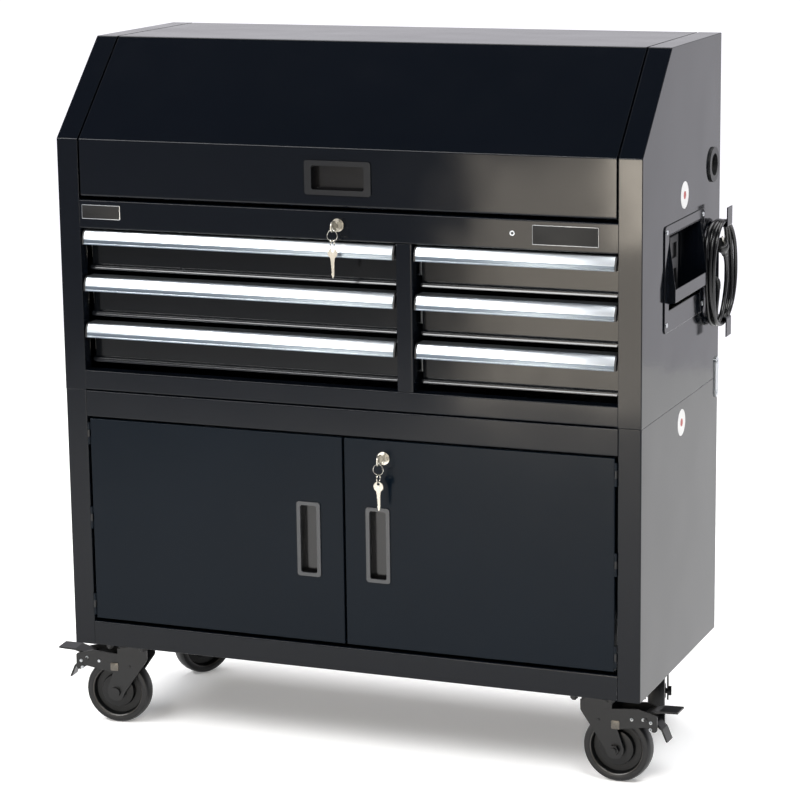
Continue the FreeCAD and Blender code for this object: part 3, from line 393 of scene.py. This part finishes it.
def make_materials():
    return {
        "body": body_enamel(),
        "door": door_enamel(),
        "drawer": drawer_enamel(),
        "aluminium": brushed_aluminium(),
        # the bar's upright band: the same aluminium painted darker and bluer than its face, a painted
        # reflection and shade
        "band": speckled("etched_aluminium", "#67717b", "#737d87", 0.002, 0.34, 0.42, 1.0),
        # moulded ABS with a fine satin grain
        "black_plastic": speckled("black_abs", "#0d0e10", "#141517", 0.0012, 0.38, 0.52, 0.0, 1.5,
                                  0.00004),
        # both pulls are painted darker inside, a painted shade
        "pull": moulded_pull("satin_grey_abs", "#323437", "#040405", 0.36),
        "lid_pull": moulded_pull("gloss_black_abs", "#17181a", "#060607", 0.14),
        # solid rubber, dusty and dull
        "tyre": speckled("solid_rubber_tyre", "#08090b", "#0e0f11", 0.004, 0.40, 0.54, 0.0, 1.42,
                         0.00008),
        # the moulding line around the tyre's inner edge, smoother than the tyre and painted lighter:
        # a painted highlight
        "rim_painted_highlight": speckled("rubbed_rubber", "#2b2927", "#3a3733", 0.003, 0.28, 0.36, 0.0, 1.52),
        "worn_steel": speckled("rubbed_black_steel", "#4b4844", "#6d6962", 0.003, 0.30, 0.42, 0.8,
                               1.5, 0.00003),
        "hub": speckled("polypropylene_hub", "#040506", "#070809", 0.002, 0.35, 0.5, 0.0, 1.38,
                        0.00003),
        # pressed steel with black electrophoretic paint: satin, slightly rough
        "caster": speckled("black_dipped_steel", "#060708", "#0b0c0e", 0.003, 0.26, 0.40, 0.0,
                           1.42, 0.00005),
        "zinc": speckled("zinc_plated_steel", "#a9adb0", "#c6c9cc", 0.002, 0.22, 0.38, 1.0),
        "nickel": speckled("nickel_plate", "#b9b6ad", "#d2cec4", 0.003, 0.14, 0.24, 1.0),
        "key": speckled("nickelled_key", "#9d9a91", "#c4c1b8", 0.0015, 0.22, 0.36, 1.0),
        "chrome": speckled("hard_chrome_rod", "#c6cacd", "#d8dbde", 0.004, 0.06, 0.12, 1.0),
        # PVC sheath of the cord: smooth, a clear line of light along each turn
        "cord": speckled("pvc_sheath", "#0b0c0e", "#101113", 0.003, 0.20, 0.28, 0.0, 1.52,
                         0.00003),
        "moulded_pvc": speckled("moulded_pvc", "#0c0d0f", "#121315", 0.002, 0.28, 0.38, 0.0, 1.52,
                                0.00004),
        # the same enamel on the tight rolled edge, where it is thick and mirror smooth; its colour is
        # painted a little lighter and its index raised, a painted highlight along the edge
        "bead": speckled("enamel_on_rolled_edge", "#101216", "#14161a", 0.003, 0.10, 0.16, 0.0,
                         1.55),
        # the plates' printed field: matt, so it stays dark where the enamel round it shines
        "plate_black": speckled("matt_black_print", "#060708", "#0a0b0c", 0.001, 0.50, 0.60, 0.0,
                                1.35),
        "foil": speckled("satin_foil", "#8f9295", "#a6a9ac", 0.001, 0.3, 0.4, 1.0),
        "vinyl": speckled("white_vinyl", "#d8d8d6", "#e4e4e2", 0.002, 0.4, 0.5, 0.0),
        "red_vinyl": speckled("red_vinyl", "#a33a34", "#ab4039", 0.002, 0.4, 0.5, 0.0),
        "lamp": speckled("frosted_lamp_ring", "#c8ccd0", "#d4d8db", 0.002, 0.3, 0.4, 0.0),
        "interior": rolled_paint("inside_enamel", "#0c0d0f", "#101214", 0.3, 1.45, 0.00001,
                                 0.0004),
    }


def paint_nodes():
    """Every CAD node that shows gets the finish of what it is made of."""
    finish = {"door_left": "door", "door_right": "door", "lid": "body", "lid_pull": "lid_pull",
              "door_pull_left": "pull", "door_pull_right": "pull",
              "pocket_frame": "body", "side_pocket": "body", "power_strip": "black_plastic",
              "bushings": "black_plastic", "cord_hooks": "body", "side_hardware": "zinc",
              "hinge_leaves": "caster", "slide_channels": "zinc", "caster_plates": "caster",
              "inner_supports": "interior", "cabinet_shelf": "interior",
              "upper_floors": "interior",
              "back_panels": "interior", "lower_floor": "interior", "drawer_divider": "body",
              "lock_barrel_drawer": "nickel", "lock_barrel_door": "nickel", "drawer_key": "key",
              "door_key": "key", "cord_plug": "black_plastic"}
    for name, node in nodes.items():
        if name in finish:
            kind = finish[name]
        elif name.startswith("drawer_"):
            kind = "drawer"
        elif name.startswith(("fork_", "pedal_")):
            kind = "caster"
        elif name.startswith("strut_cylinder"):
            kind = "black_plastic"
        elif name.startswith("strut_rod"):
            kind = "chrome"
        elif name.startswith("cord_"):
            kind = "cord"
        else:
            kind = "body"
        node.data.materials.append(materials[kind])


# ---- cord ---------------------------------------------------------------------------------
CABINET = Vector((0.00026, 0.0155, 0.0))      # middle of the cabinet on the floor
SIDE = 0.5205                                 # outer face of the right side, from that middle
CORD_DIAMETER = 0.007
TURNS = 4
STEPS = 16                                    # points in a turn

LEAD = [(0.003, 0.1745, 0.797), (0.011, 0.1745, 0.797), (0.015, 0.1730, 0.790),
        (0.0155, 0.1700, 0.777), (0.015, 0.1665, 0.761), (0.0135, 0.1655, 0.743),
        (0.0120, 0.1710, 0.7265),
        (0.0100, 0.1840, 0.7180)]
TAIL = [(0.0180, 0.1395, 0.7320), (0.0172, 0.1530, 0.7220), (0.0172, 0.1700, 0.7225),
        (0.0182, 0.1855, 0.7370), (0.0195, 0.1970, 0.7610), (0.020, 0.2045, 0.785),
        (0.0202, 0.2070, 0.806), (0.020, 0.2045, 0.823), (0.0195, 0.198, 0.836)]
COIL_MIDDLE = Vector((0.015, 0.1855, 0.80675))


def cord_route():
    """The lead down from its gland, nearly four loose turns over the two hooks, and the end to the
    plug."""
    points = [Vector((SIDE, 0, 0)) + Vector(point) for point in LEAD]
    for step in range(TURNS * STEPS - 4):
        turn = (step + 0.5) / STEPS
        angle = math.radians(150) - math.tau * turn
        across, upright = math.sin(angle), math.cos(angle)
        # rounded loop: wide at the hooks, fanned out where nothing ties it
        y = 0.0595 * math.copysign(abs(across) ** 0.8, across)
        z = 0.0905 * math.copysign(abs(upright) ** 0.75, upright)
        spread = 0.006 * math.sin(2.3 * turn + 1.1)
        x = 0.0045 * (turn - TURNS / 2) + 0.05 * y + 0.002 * math.sin(3 * angle + turn)
        points.append(Vector((SIDE, 0, 0)) + COIL_MIDDLE + Vector((x, y + spread * across, z)))
    points += [Vector((SIDE, 0, 0)) + Vector(point) for point in TAIL]
    return [CABINET + point for point in points]


def make_cord():
    route = cord_route()
    curve = bpy.data.curves.new("power_cord", "CURVE")
    curve.dimensions = "3D"
    spline = curve.splines.new("NURBS")
    spline.points.add(len(route) - 1)
    for point, place in zip(spline.points, route):
        point.co = (*place, 1.0)
    spline.order_u = 3
    spline.use_endpoint_u = True
    spline.resolution_u = 6
    curve.bevel_depth = CORD_DIAMETER / 2
    curve.bevel_resolution = 4
    curve.use_fill_caps = True
    piece = bpy.data.objects.new("power_cord", curve)
    bpy.context.scene.collection.objects.link(piece)
    curve.materials.append(materials["cord"])
    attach(piece, "cabinet")
    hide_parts("cord_lead", "cord_coil", "cord_tail")
    return piece, route


def centre_line(cord):
    """Points along the middle of the cord."""
    bare = cord.data.copy()
    bare.bevel_depth = 0.0
    bare.resolution_u = 12
    thread = bpy.data.objects.new("bare_cord", bare)
    mesh = bpy.data.meshes.new_from_object(thread)
    return [vertex.co.copy() for vertex in mesh.vertices]


def make_strain_relief(cord):
    """A soft sleeve that tapers along the first 26 mm of the cord."""
    line = centre_line(cord)
    reach = [0.0]
    for before, after in zip(line, line[1:]):
        reach.append(reach[-1] + (after - before).length)
    count = sum(distance < RELIEF_LENGTH for distance in reach)
    curve = bpy.data.curves.new("strain_relief", "CURVE")
    curve.dimensions = "3D"
    spline = curve.splines.new("POLY")
    spline.points.add(count - 1)
    for point, place, distance in zip(spline.points, line, reach):
        point.co = (*place, 1.0)
        ridge = 0.25 if int(distance / 0.0022) % 2 else 0.0
        point.radius = 5.6 - 1.6 * distance / RELIEF_LENGTH - ridge
    curve.bevel_depth = 0.001
    curve.bevel_resolution = 6
    curve.use_fill_caps = True
    sleeve = bpy.data.objects.new("strain_relief", curve)
    bpy.context.scene.collection.objects.link(sleeve)
    select_only(sleeve)
    bpy.ops.object.convert(target="MESH")
    return finish_piece(bpy.context.active_object, materials["black_plastic"], "cabinet")


# ---- drawer handles -----------------------------------------------------------------------
def handle_profiles(front, back, top):
    """Outline of the extruded bar: a face leaning back and lightly crowned, a step in under it,
    an upright band and a short return lip."""
    crown = [(front + 0.0115, top), (front + 0.0092, top - 0.0003), (front + 0.0074, top - 0.0014),
             (front + 0.0060, top - 0.0032), (front + 0.0043, top - 0.0062),
             (front + 0.0028, top - 0.0092),
             (front + 0.0016, top - 0.0120), (front + 0.0006, top - 0.0148)]
    foot = [(front, top - 0.0160), (front + 0.0008, top - 0.0166), (front + 0.0008, top - 0.0226),
            (front, top - 0.0232), (front, top - 0.0250), (front + 0.009, top - 0.0250)]
    inner = [(front + 0.009, top - 0.0234), (front + 0.0027, top - 0.0234),
             (front + 0.0027, top - 0.0150),
             (front + 0.0046, top - 0.0100), (front + 0.0076, top - 0.0040),
             (front + 0.0112, top - 0.0018),
             (back - 0.0018, top - 0.0018), (back - 0.0018, top - 0.016)]
    shell = [(back, top - 0.016), (back, top)] + crown + foot + inner
    solid = [(back, top - 0.016), (back, top)] + crown + [
        (front, top - 0.0250), (front + 0.010, top - 0.0250), (front + 0.010, top - 0.016)]
    return shell, solid


def make_handles():
    for side in ("left", "right"):
        low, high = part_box(f"handle_drawer_{side}_top")
        bar_outline, cap_outline = handle_profiles(low[1], high[1], high[2])
        length = high[0] - low[0]
        bar = plate("handle_bar_pattern", bar_outline, length - 0.0066, bevel=0.0003)
        cap = plate("handle_cap_pattern", cap_outline, CAP_THICKNESS, bevel=0.0005)
        middle = (low[0] + high[0]) / 2
        for level in LEVELS:
            body = f"drawer_{side}_{level}"
            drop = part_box(f"handle_{body}")[1][2] - high[2]
            new_bar = twin(bar, f"handle_bar_{side}_{level}",
                           Matrix.Translation((middle, 0, drop)))
            ends = [twin(cap, "handle_cap",
                         Matrix.Translation((middle + way * (length / 2 - CAP_THICKNESS / 2), 0,
                                             drop)))
                    for way in (-1, 1)]
            caps = join(f"handle_caps_{side}_{level}", ends)
            finish_piece(new_bar, materials["aluminium"], body)
            # the band's faces get the darker, bluer copy of the aluminium: painted reflection and
            # shade
            new_bar.data.materials.append(materials["band"])
            bpy.ops.object.mode_set(mode="EDIT")
            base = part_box(f"handle_{body}")[0]
            pick(new_bar, "faces", lambda centre,
                 normal: normal.y < -0.9 and centre.z < base[2] + 0.0089
                 and centre.y < base[1] + 0.002)
            new_bar.active_material_index = 1
            bpy.ops.object.material_slot_assign()
            bpy.ops.object.mode_set(mode="OBJECT")
            finish_piece(caps, materials["black_plastic"], body)
            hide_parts(f"handle_{body}")
        bpy.data.objects.remove(bar)
        bpy.data.objects.remove(cap)


def make_beads():
    """The rolled lower edge of each drawer front: a narrow strip leaning back over a round nose,
    which catches the light along its whole length."""
    for side in ("left", "right"):
        low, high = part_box(f"drawer_{side}_top")
        nose = [(NOSE_RADIUS - NOSE_RADIUS * math.sin(math.radians(turn)),
                 NOSE_RADIUS + NOSE_RADIUS * math.cos(math.radians(turn)))
                for turn in range(180, 65, -12)]
        edge = nose + [(0.0022, 0.0056), (0.0032, 0.0062), (0.0032, 0.0)]
        bead = plate("bead_pattern", edge, high[0] - low[0] - 0.008)
        for level in LEVELS:
            body = f"drawer_{side}_{level}"
            low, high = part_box(body)
            place = Matrix.Translation(((low[0] + high[0]) / 2, low[1] - 0.0012, low[2] + 0.0004))
            # the rolled edge takes the lighter enamel, a painted highlight
            finish_piece(twin(bead, f"rolled_edge_{side}_{level}", place), materials["bead"], body)
        bpy.data.objects.remove(bead)


# ---- brake rivets and caster details ------------------------------------------------------
def make_caster_details():
    """On each front caster: four hollow rivets and a square boss on the brake plate, and a dimple
    pressed in the fork leg."""
    rivet = turned("rivet_pattern", [(0.0, 0.0004), (0.0011, 0.0004), (0.0014, 0.0012),
                                     (0.0024, 0.0013),
                                     (0.0030, 0.0006), (0.0031, -0.0006), (0.0, -0.0006)],
                                     steps=20)
    dimple = turned("dimple_pattern", [(0.0, 0.0009), (0.0014, 0.0007), (0.0024, 0.0001),
                                       (0.0026, -0.0004),
                                       (0.0, -0.0004)], steps=20)
    boss = plate("boss_pattern", rounded([(y * 0.0075, z * 0.0075, 0.0025)
                                          for y, z in ((-1, -1), (1, -1), (1, 1), (-1, 1))]),
                                          0.0024,
                 bevel=0.0007)
    for corner, spots, boss_spot in (
            ("front_left", ((0.0985, 0.1130), (0.0870, 0.1195), (0.0965, 0.1010),
                            (0.0640, 0.1150)),
             (0.0350, 0.1060)),
            ("front_right", ((0.0840, 0.1170), (0.0970, 0.1130), (0.0965, 0.1010),
                             (0.0640, 0.1150)),
             (0.0355, 0.1025))):
        swivel = Vector(joints[f"swivel_{corner}"]["pos_m"])
        brake = Vector(joints[f"brake_{corner}"]["pos_m"])
        along = (brake - swivel).to_2d().normalized()
        sideways = Vector((along.y, -along.x)) if along.x > 0 else Vector((-along.y, along.x))
        outward = math.atan2(sideways.y, sideways.x)

        def spot(x, z, stand):
            place = swivel.to_2d() + along * x + sideways * stand
            return Matrix.Translation((place.x, place.y, z)) @ turn_about_z(outward)

        rivets = [twin(rivet, "rivet", spot(x, z, 0.0215)) for x, z in spots]
        finish_piece(join(f"brake_rivets_{corner}", rivets), materials["zinc"], f"fork_{corner}",
                     smooth=40)
        finish_piece(twin(boss, f"brake_boss_{corner}", spot(*boss_spot, 0.0218)),
                     materials["worn_steel"],
                     f"fork_{corner}")
        finish_piece(twin(dimple, f"fork_dimple_{corner}", spot(0.0060, 0.1080, 0.0215)),
                     materials["caster"], f"fork_{corner}", smooth=40)
    for pattern in (rivet, dimple, boss):
        bpy.data.objects.remove(pattern)


# ---- plug ---------------------------------------------------------------------------------
def make_plug():
    """A moulded plug on the end of the cord: ribbed sleeve, flared grip, face and two blades."""
    tail = route[-1]
    tip = CABINET + Vector((SIDE + 0.0165, 0.172, 0.868))
    way = (tip - tail).normalized()
    place = Matrix.Translation(tail) @ way.to_track_quat("X", "Z").to_matrix().to_4x4()
    body = turned("plug_body", [(0.0, -0.0030), (0.0042, -0.0030), (0.0046, 0.0), (0.0052, 0.0012),
                                (0.0047, 0.0024), (0.0055, 0.0040), (0.0050, 0.0054),
                                (0.0059, 0.0070),
                                (0.0066, 0.0100), (0.0092, 0.0140), (0.0115, 0.0185),
                                (0.0118, 0.0240),
                                (0.0104, 0.0262), (0.0112, 0.0285), (0.0118, 0.0305),
                                (0.0112, 0.0322),
                                (0.0, 0.0325)], steps=36)
    body.data.transform(place)
    finish_piece(body, materials["moulded_pvc"], "cabinet", smooth=50)
    blades = []
    for side in (-1, 1):
        edge = [(-0.0030, 0.0), (0.0030, 0.0), (0.0030, 0.0140), (0.0018, 0.0160),
                (-0.0018, 0.0160),
                (-0.0030, 0.0140)]
        blade = plate("blade_pattern", edge, 0.0015, bevel=0.0003)
        upright = Matrix.Translation((0.0310, side * 0.0060,
                                      0)) @ Matrix.Rotation(math.pi / 2, 4, "Y") \
            @ turn_about_z(math.pi / 2)
        blades.append(twin(blade, "plug_blade", place @ upright))
        bpy.data.objects.remove(blade)
    pair = finish_piece(join("plug_blades", blades), materials["nickel"], "cabinet")
    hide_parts("cord_plug")
    return body, pair


# ---- wheels -------------------------------------------------------------------------------
def make_wheels():
    """A solid rubber tyre on a moulded hub, turned about the axle."""
    tyre = turned("tyre_pattern", [(0.0452, -0.0122), (0.0468, -0.0138), (0.0520, -0.0150),
                                   (0.0560, -0.0138), (0.0583, -0.0100), (0.0590, -0.0050),
                                   (0.0590, 0.0050), (0.0583, 0.0100), (0.0560, 0.0138),
                                   (0.0520, 0.0150), (0.0468, 0.0138), (0.0452, 0.0122)],
                  steps=72, closed=True)
    face = [(0.0065, 0.0165), (0.0120, 0.0165), (0.0132, 0.0150), (0.0138, 0.0125),
            (0.0275, 0.0125),
            (0.0294, 0.0119), (0.0302, 0.0100), (0.0306, 0.0035), (0.0425, 0.0035),
            (0.0436, 0.0095),
            (0.0452, 0.0122)]
    hub = turned("hub_pattern", [(radius, -x) for radius, x in face] + face[::-1], steps=72,
                 closed=True)
    for corner in CASTERS:
        joint = joints[f"spin_{corner}"]
        axis = joint["axis"]
        place = Matrix.Translation(joint["pos_m"]) @ turn_about_z(math.atan2(axis[1], axis[0]))
        new_tyre = twin(tyre, f"tyre_{corner}", place)
        new_hub = twin(hub, f"hub_{corner}", place)
        finish_piece(new_tyre, materials["tyre"], f"wheel_{corner}", smooth=40)
        # the inner lip gets the lighter rubber, a painted highlight line
        new_tyre.data.materials.append(materials["rim_painted_highlight"])
        middle = Vector(joint["pos_m"])
        bpy.ops.object.mode_set(mode="EDIT")
        pick(new_tyre, "faces", lambda centre,
             normal: abs((centre - middle).dot(Vector(axis))) > 0.0124
             and (centre - middle).length < 0.0485)
        new_tyre.active_material_index = 1
        bpy.ops.object.material_slot_assign()
        bpy.ops.object.mode_set(mode="OBJECT")
        finish_piece(new_hub, materials["hub"], f"wheel_{corner}")
        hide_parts(f"wheel_{corner}")
    bpy.data.objects.remove(tyre)
    bpy.data.objects.remove(hub)


# ---- keys ---------------------------------------------------------------------------------
def split_ring(name, radius, wire):
    """Two turns of flat wire side by side, about the X axis."""
    turns = []
    for side in (-1, 1):
        bpy.ops.object.select_all(action="DESELECT")
        bpy.ops.mesh.primitive_torus_add(major_segments=48, minor_segments=8, major_radius=radius,
                                         minor_radius=wire / 2, rotation=(0, math.pi / 2, 0))
        turn = newest("ring_turn")
        bpy.ops.object.transform_apply(location=True, rotation=True, scale=True)
        turn.data.transform(Matrix.Translation((side * wire * 0.5, 0, 0)))
        turns.append(turn)
    return join(name, turns)


def spare_key():
    """A flat key, tip down, with its bow's middle at the origin: round bow, hole, toothed blade."""
    bow = [(0.0088 * math.sin(math.radians(turn)), 0.0085 * math.cos(math.radians(turn)))
           for turn in range(-152, 153, 8)]
    blade = [(0.0036, -0.0110), (0.0036, -0.0135), (0.0030, -0.0140), (0.0030, -0.0330),
             (0.0022, -0.0385),
             (0.0002, -0.0420), (-0.0010, -0.0400), (-0.0018, -0.0370), (-0.0028, -0.0350),
             (-0.0020, -0.0328), (-0.0012, -0.0310), (-0.0028, -0.0288), (-0.0015, -0.0262),
             (-0.0029, -0.0240), (-0.0020, -0.0216), (-0.0030, -0.0195), (-0.0030, -0.0140),
             (-0.0036, -0.0135), (-0.0036, -0.0110)]
    key = plate("spare_key_pattern", bow + blade, 0.0020)
    bpy.ops.object.select_all(action="DESELECT")
    bpy.ops.mesh.primitive_cylinder_add(vertices=32, radius=0.0024, depth=0.01,
                                        location=(0, 0, 0.0045),
                                        rotation=(0, math.pi / 2, 0))
    hole = newest("key_hole_cutter")
    modify(key, "BOOLEAN", object=hole, operation="DIFFERENCE", solver="EXACT")
    bpy.data.objects.remove(hole)
    modify(key, "BEVEL", width=0.0003, segments=2, limit_method="ANGLE",
           angle_limit=math.radians(50))
    return key


def hang_keys():
    """Each lock's key carries a split ring, a small ring edge-on in it, and the spare key."""
    ring = split_ring("ring_pattern", 0.0090, 0.0011)
    small_ring = split_ring("small_ring_pattern", 0.0075, 0.0010)
    key = spare_key()
    for lock in ("drawer", "door"):
        low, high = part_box(f"lock_barrel_{lock}")
        middle = Vector(((low[0] + high[0]) / 2, KEYS_Y, (low[2] + high[2]) / 2))

        def hang(drop, middle=middle):
            return Matrix.Translation(middle + Vector((0, 0, -drop)))

        pieces = [(twin(ring, f"{lock}_key_ring", hang(0.0142) @ FACING_FRONT), "nickel"),
                  (twin(small_ring, f"{lock}_key_link", hang(0.0294)), "nickel"),
                  (twin(key, f"{lock}_spare_key", hang(0.0433) @ FACING_FRONT), "key")]
        for piece, finish in pieces:
            finish_piece(piece, materials[finish], f"{lock}_key", smooth=14)
    for pattern in (ring, small_ring, key):
        bpy.data.objects.remove(pattern)


# ---- plates, lamp and discs ---------------------------------------------------------------
def front_plate(name, left, right, bottom, top, radius, border):
    """A plain plate on the top rail: a foil rim and a black field, with nothing written on it."""
    place = Matrix.Translation(((left + right) / 2, PLATE_Y, (bottom + top) / 2)) @ FACING_FRONT
    wide, tall = (right - left) / 2, (top - bottom) / 2
    for part, inset, thickness, finish, slot in (("rim", 0.0, 0.0008, "foil", "zinc_steel"),
                                                 ("field", border, 0.0012, "plate_black",
                                                  "black_plastic")):
        outline = rounded([(y * (wide - inset), z * (tall - inset), max(radius - inset, 0.0003))
                           for y, z in ((-1, -1), (1, -1), (1, 1), (-1, 1))], segments=4)
        pattern = plate("plate_pattern", outline, thickness, bevel=0.0001)
        piece = twin(pattern, f"{name}_{part}", place)
        bpy.data.objects.remove(pattern)
        finish_piece(piece, materials[finish], "cabinet")


def make_lamp():
    """A small lamp in a light bezel on the top rail."""
    bezel = turned("lamp_pattern", [(0.0022, 0.0002), (0.0026, 0.0014), (0.0036, 0.0016),
                                    (0.0042, 0.0010),
                                    (0.0043, -0.0004), (0.0022, -0.0004)], steps=32, closed=True)
    lens = turned("lens_pattern", [(0.0, 0.0008), (0.0010, 0.0007), (0.0021, 0.0002),
                                   (0.0021, -0.0004),
                                   (0.0, -0.0004)], steps=24)
    place = Matrix.Translation((0.3028, LAMP_Y, 0.9260)) @ FACING_FRONT
    for pattern, name, finish, slot in ((bezel, "lamp_bezel", "lamp", "zinc_steel"),
                                        (lens, "lamp_lens", "black_plastic", "black_plastic")):
        finish_piece(twin(pattern, name, place), materials[finish], "cabinet")
        bpy.data.objects.remove(pattern)


def make_side_discs():
    """Two plain round stickers on the right side: a white disc with a red middle."""
    white = turned("disc_pattern", [(0.0, 0.0002), (0.0225, 0.0002), (0.0228, 0.0), (0.0, 0.0)],
                   steps=48)
    red = turned("red_disc_pattern", [(0.0, 0.00035), (0.0068, 0.00035), (0.0070, 0.0001),
                                      (0.0, 0.0001)],
                 steps=48)
    for level, y, z in (("upper", 0.026, 0.964), ("lower", 0.018, 0.580)):
        place = Matrix.Translation((DISC_X, y, z))
        finish_piece(twin(white, f"{level}_disc", place), materials["vinyl"], "cabinet")
        finish_piece(twin(red, f"{level}_disc_middle", place), materials["red_vinyl"], "cabinet")
    bpy.data.objects.remove(white)
    bpy.data.objects.remove(red)


# ---- stage --------------------------------------------------------------------------------
def make_floor():
    """One plain sheet of pale matt paper."""
    bpy.ops.object.select_all(action="DESELECT")
    bpy.ops.mesh.primitive_grid_add(x_subdivisions=4, y_subdivisions=4, size=36.0)
    paper = newest("paper_floor")
    paper.data.transform(Matrix.Translation((0, -14.8, 0)))
    material, shader = shaded("matt_paper", Roughness=0.95, IOR=1.2)
    shader.inputs["Base Color"].default_value = colour("#fafafa")
    shader.inputs["Emission Color"].default_value = colour("#fafafa")
    shader.inputs["Emission Strength"].default_value = 0.20
    paper.data.materials.append(material)


def make_world():
    """A studio whose rear wall glows, dim overhead and behind the camera."""
    world = bpy.data.worlds.new("studio")
    bpy.context.scene.world = world
    world.use_nodes = True
    direction = node_in(world, "ShaderNodeTexCoord").outputs["Generated"]
    split = node_in(world, "ShaderNodeSeparateXYZ", {"Vector": direction})
    rear = node_in(world, "ShaderNodeMapRange", {"Value": split.outputs["Y"], "From Min": -0.35,
                                                 "From Max": 0.30, "To Min": 0.30, "To Max": 1.15})
    low = node_in(world, "ShaderNodeMapRange", {"Value": split.outputs["Z"], "From Min": -0.02,
                                                "From Max": 0.08, "To Min": 1.0, "To Max": 0.62})
    high = node_in(world, "ShaderNodeMapRange", {"Value": split.outputs["Z"], "From Min": 0.30,
                                                 "From Max": 0.60, "To Min": 1.0, "To Max": 0.15})
    wall = node_in(world, "ShaderNodeMath", {0: rear.outputs["Result"], 1: low.outputs["Result"]},
                   operation="MULTIPLY")
    glow = node_in(world, "ShaderNodeMath", {0: wall.outputs["Value"], 1: high.outputs["Result"]},
                   operation="MULTIPLY")
    background = world.node_tree.nodes["Background"]
    background.inputs["Color"].default_value = (0.985, 0.97, 1.03, 1.0)
    world.node_tree.links.new(glow.outputs["Value"], background.inputs["Strength"])


def soft_box(name, place, aim, width, height, power, tint=(1.0, 1.0, 1.0)):
    """A rectangular area light aimed at a point, in metres and watts."""
    data = bpy.data.lights.new(name, "AREA")
    data.shape = "RECTANGLE"
    data.size = width
    data.size_y = height
    data.energy = power
    data.color = tint
    light = bpy.data.objects.new(name, data)
    bpy.context.scene.collection.objects.link(light)
    light.location = place
    light.rotation_euler = (Vector(aim) - Vector(place)).to_track_quat("-Z", "Y").to_euler()


def make_stage():
    """Pale floor, a large box overhead, one at the front left, one at the right, and two warm low
    cards that glow in the right end of the front."""
    make_floor()
    make_world()
    soft_box("overhead_soft_box", (0.3, 2.1, 5.0), (0.3, 1.8, 0.0), 8.0, 4.4, 385)
    soft_box("front_left_soft_box", (-1.60, -2.5, 2.75), (-0.1, -0.2, 0.8), 3.2, 0.8, 122)
    soft_box("right_soft_box", (1.7, -1.9, 3.0), (0.6, -0.4, 0.0), 1.2, 1.2, 60)
    warm = (1.0, 0.9, 0.76)
    soft_box("warm_card", (-0.08, -3.0, 0.87), (0.5, -0.2, 1.0), 0.60, 0.80, 26, warm)
    soft_box("wide_warm_card", (-0.45, -3.1, 0.32), (0.5, -0.2, 0.9), 0.75, 0.75, 12, warm)
    bpy.context.scene.view_settings.view_transform = "Standard"


# ---- the making ---------------------------------------------------------------------------
make_camera()
materials = make_materials()
cord, route = make_cord()
relief = make_strain_relief(cord)
plug, plug_blades = make_plug()
paint_nodes()
make_handles()
make_beads()
make_caster_details()
make_wheels()
hang_keys()
front_plate("left_plate", -0.4762, -0.4032, 0.9165, 0.9410, 0.0015, 0.0012)
front_plate("right_plate", 0.3368, 0.4488, 0.9090, 0.9410, 0.0015, 0.0009)
make_lamp()
make_side_discs()
make_stage()
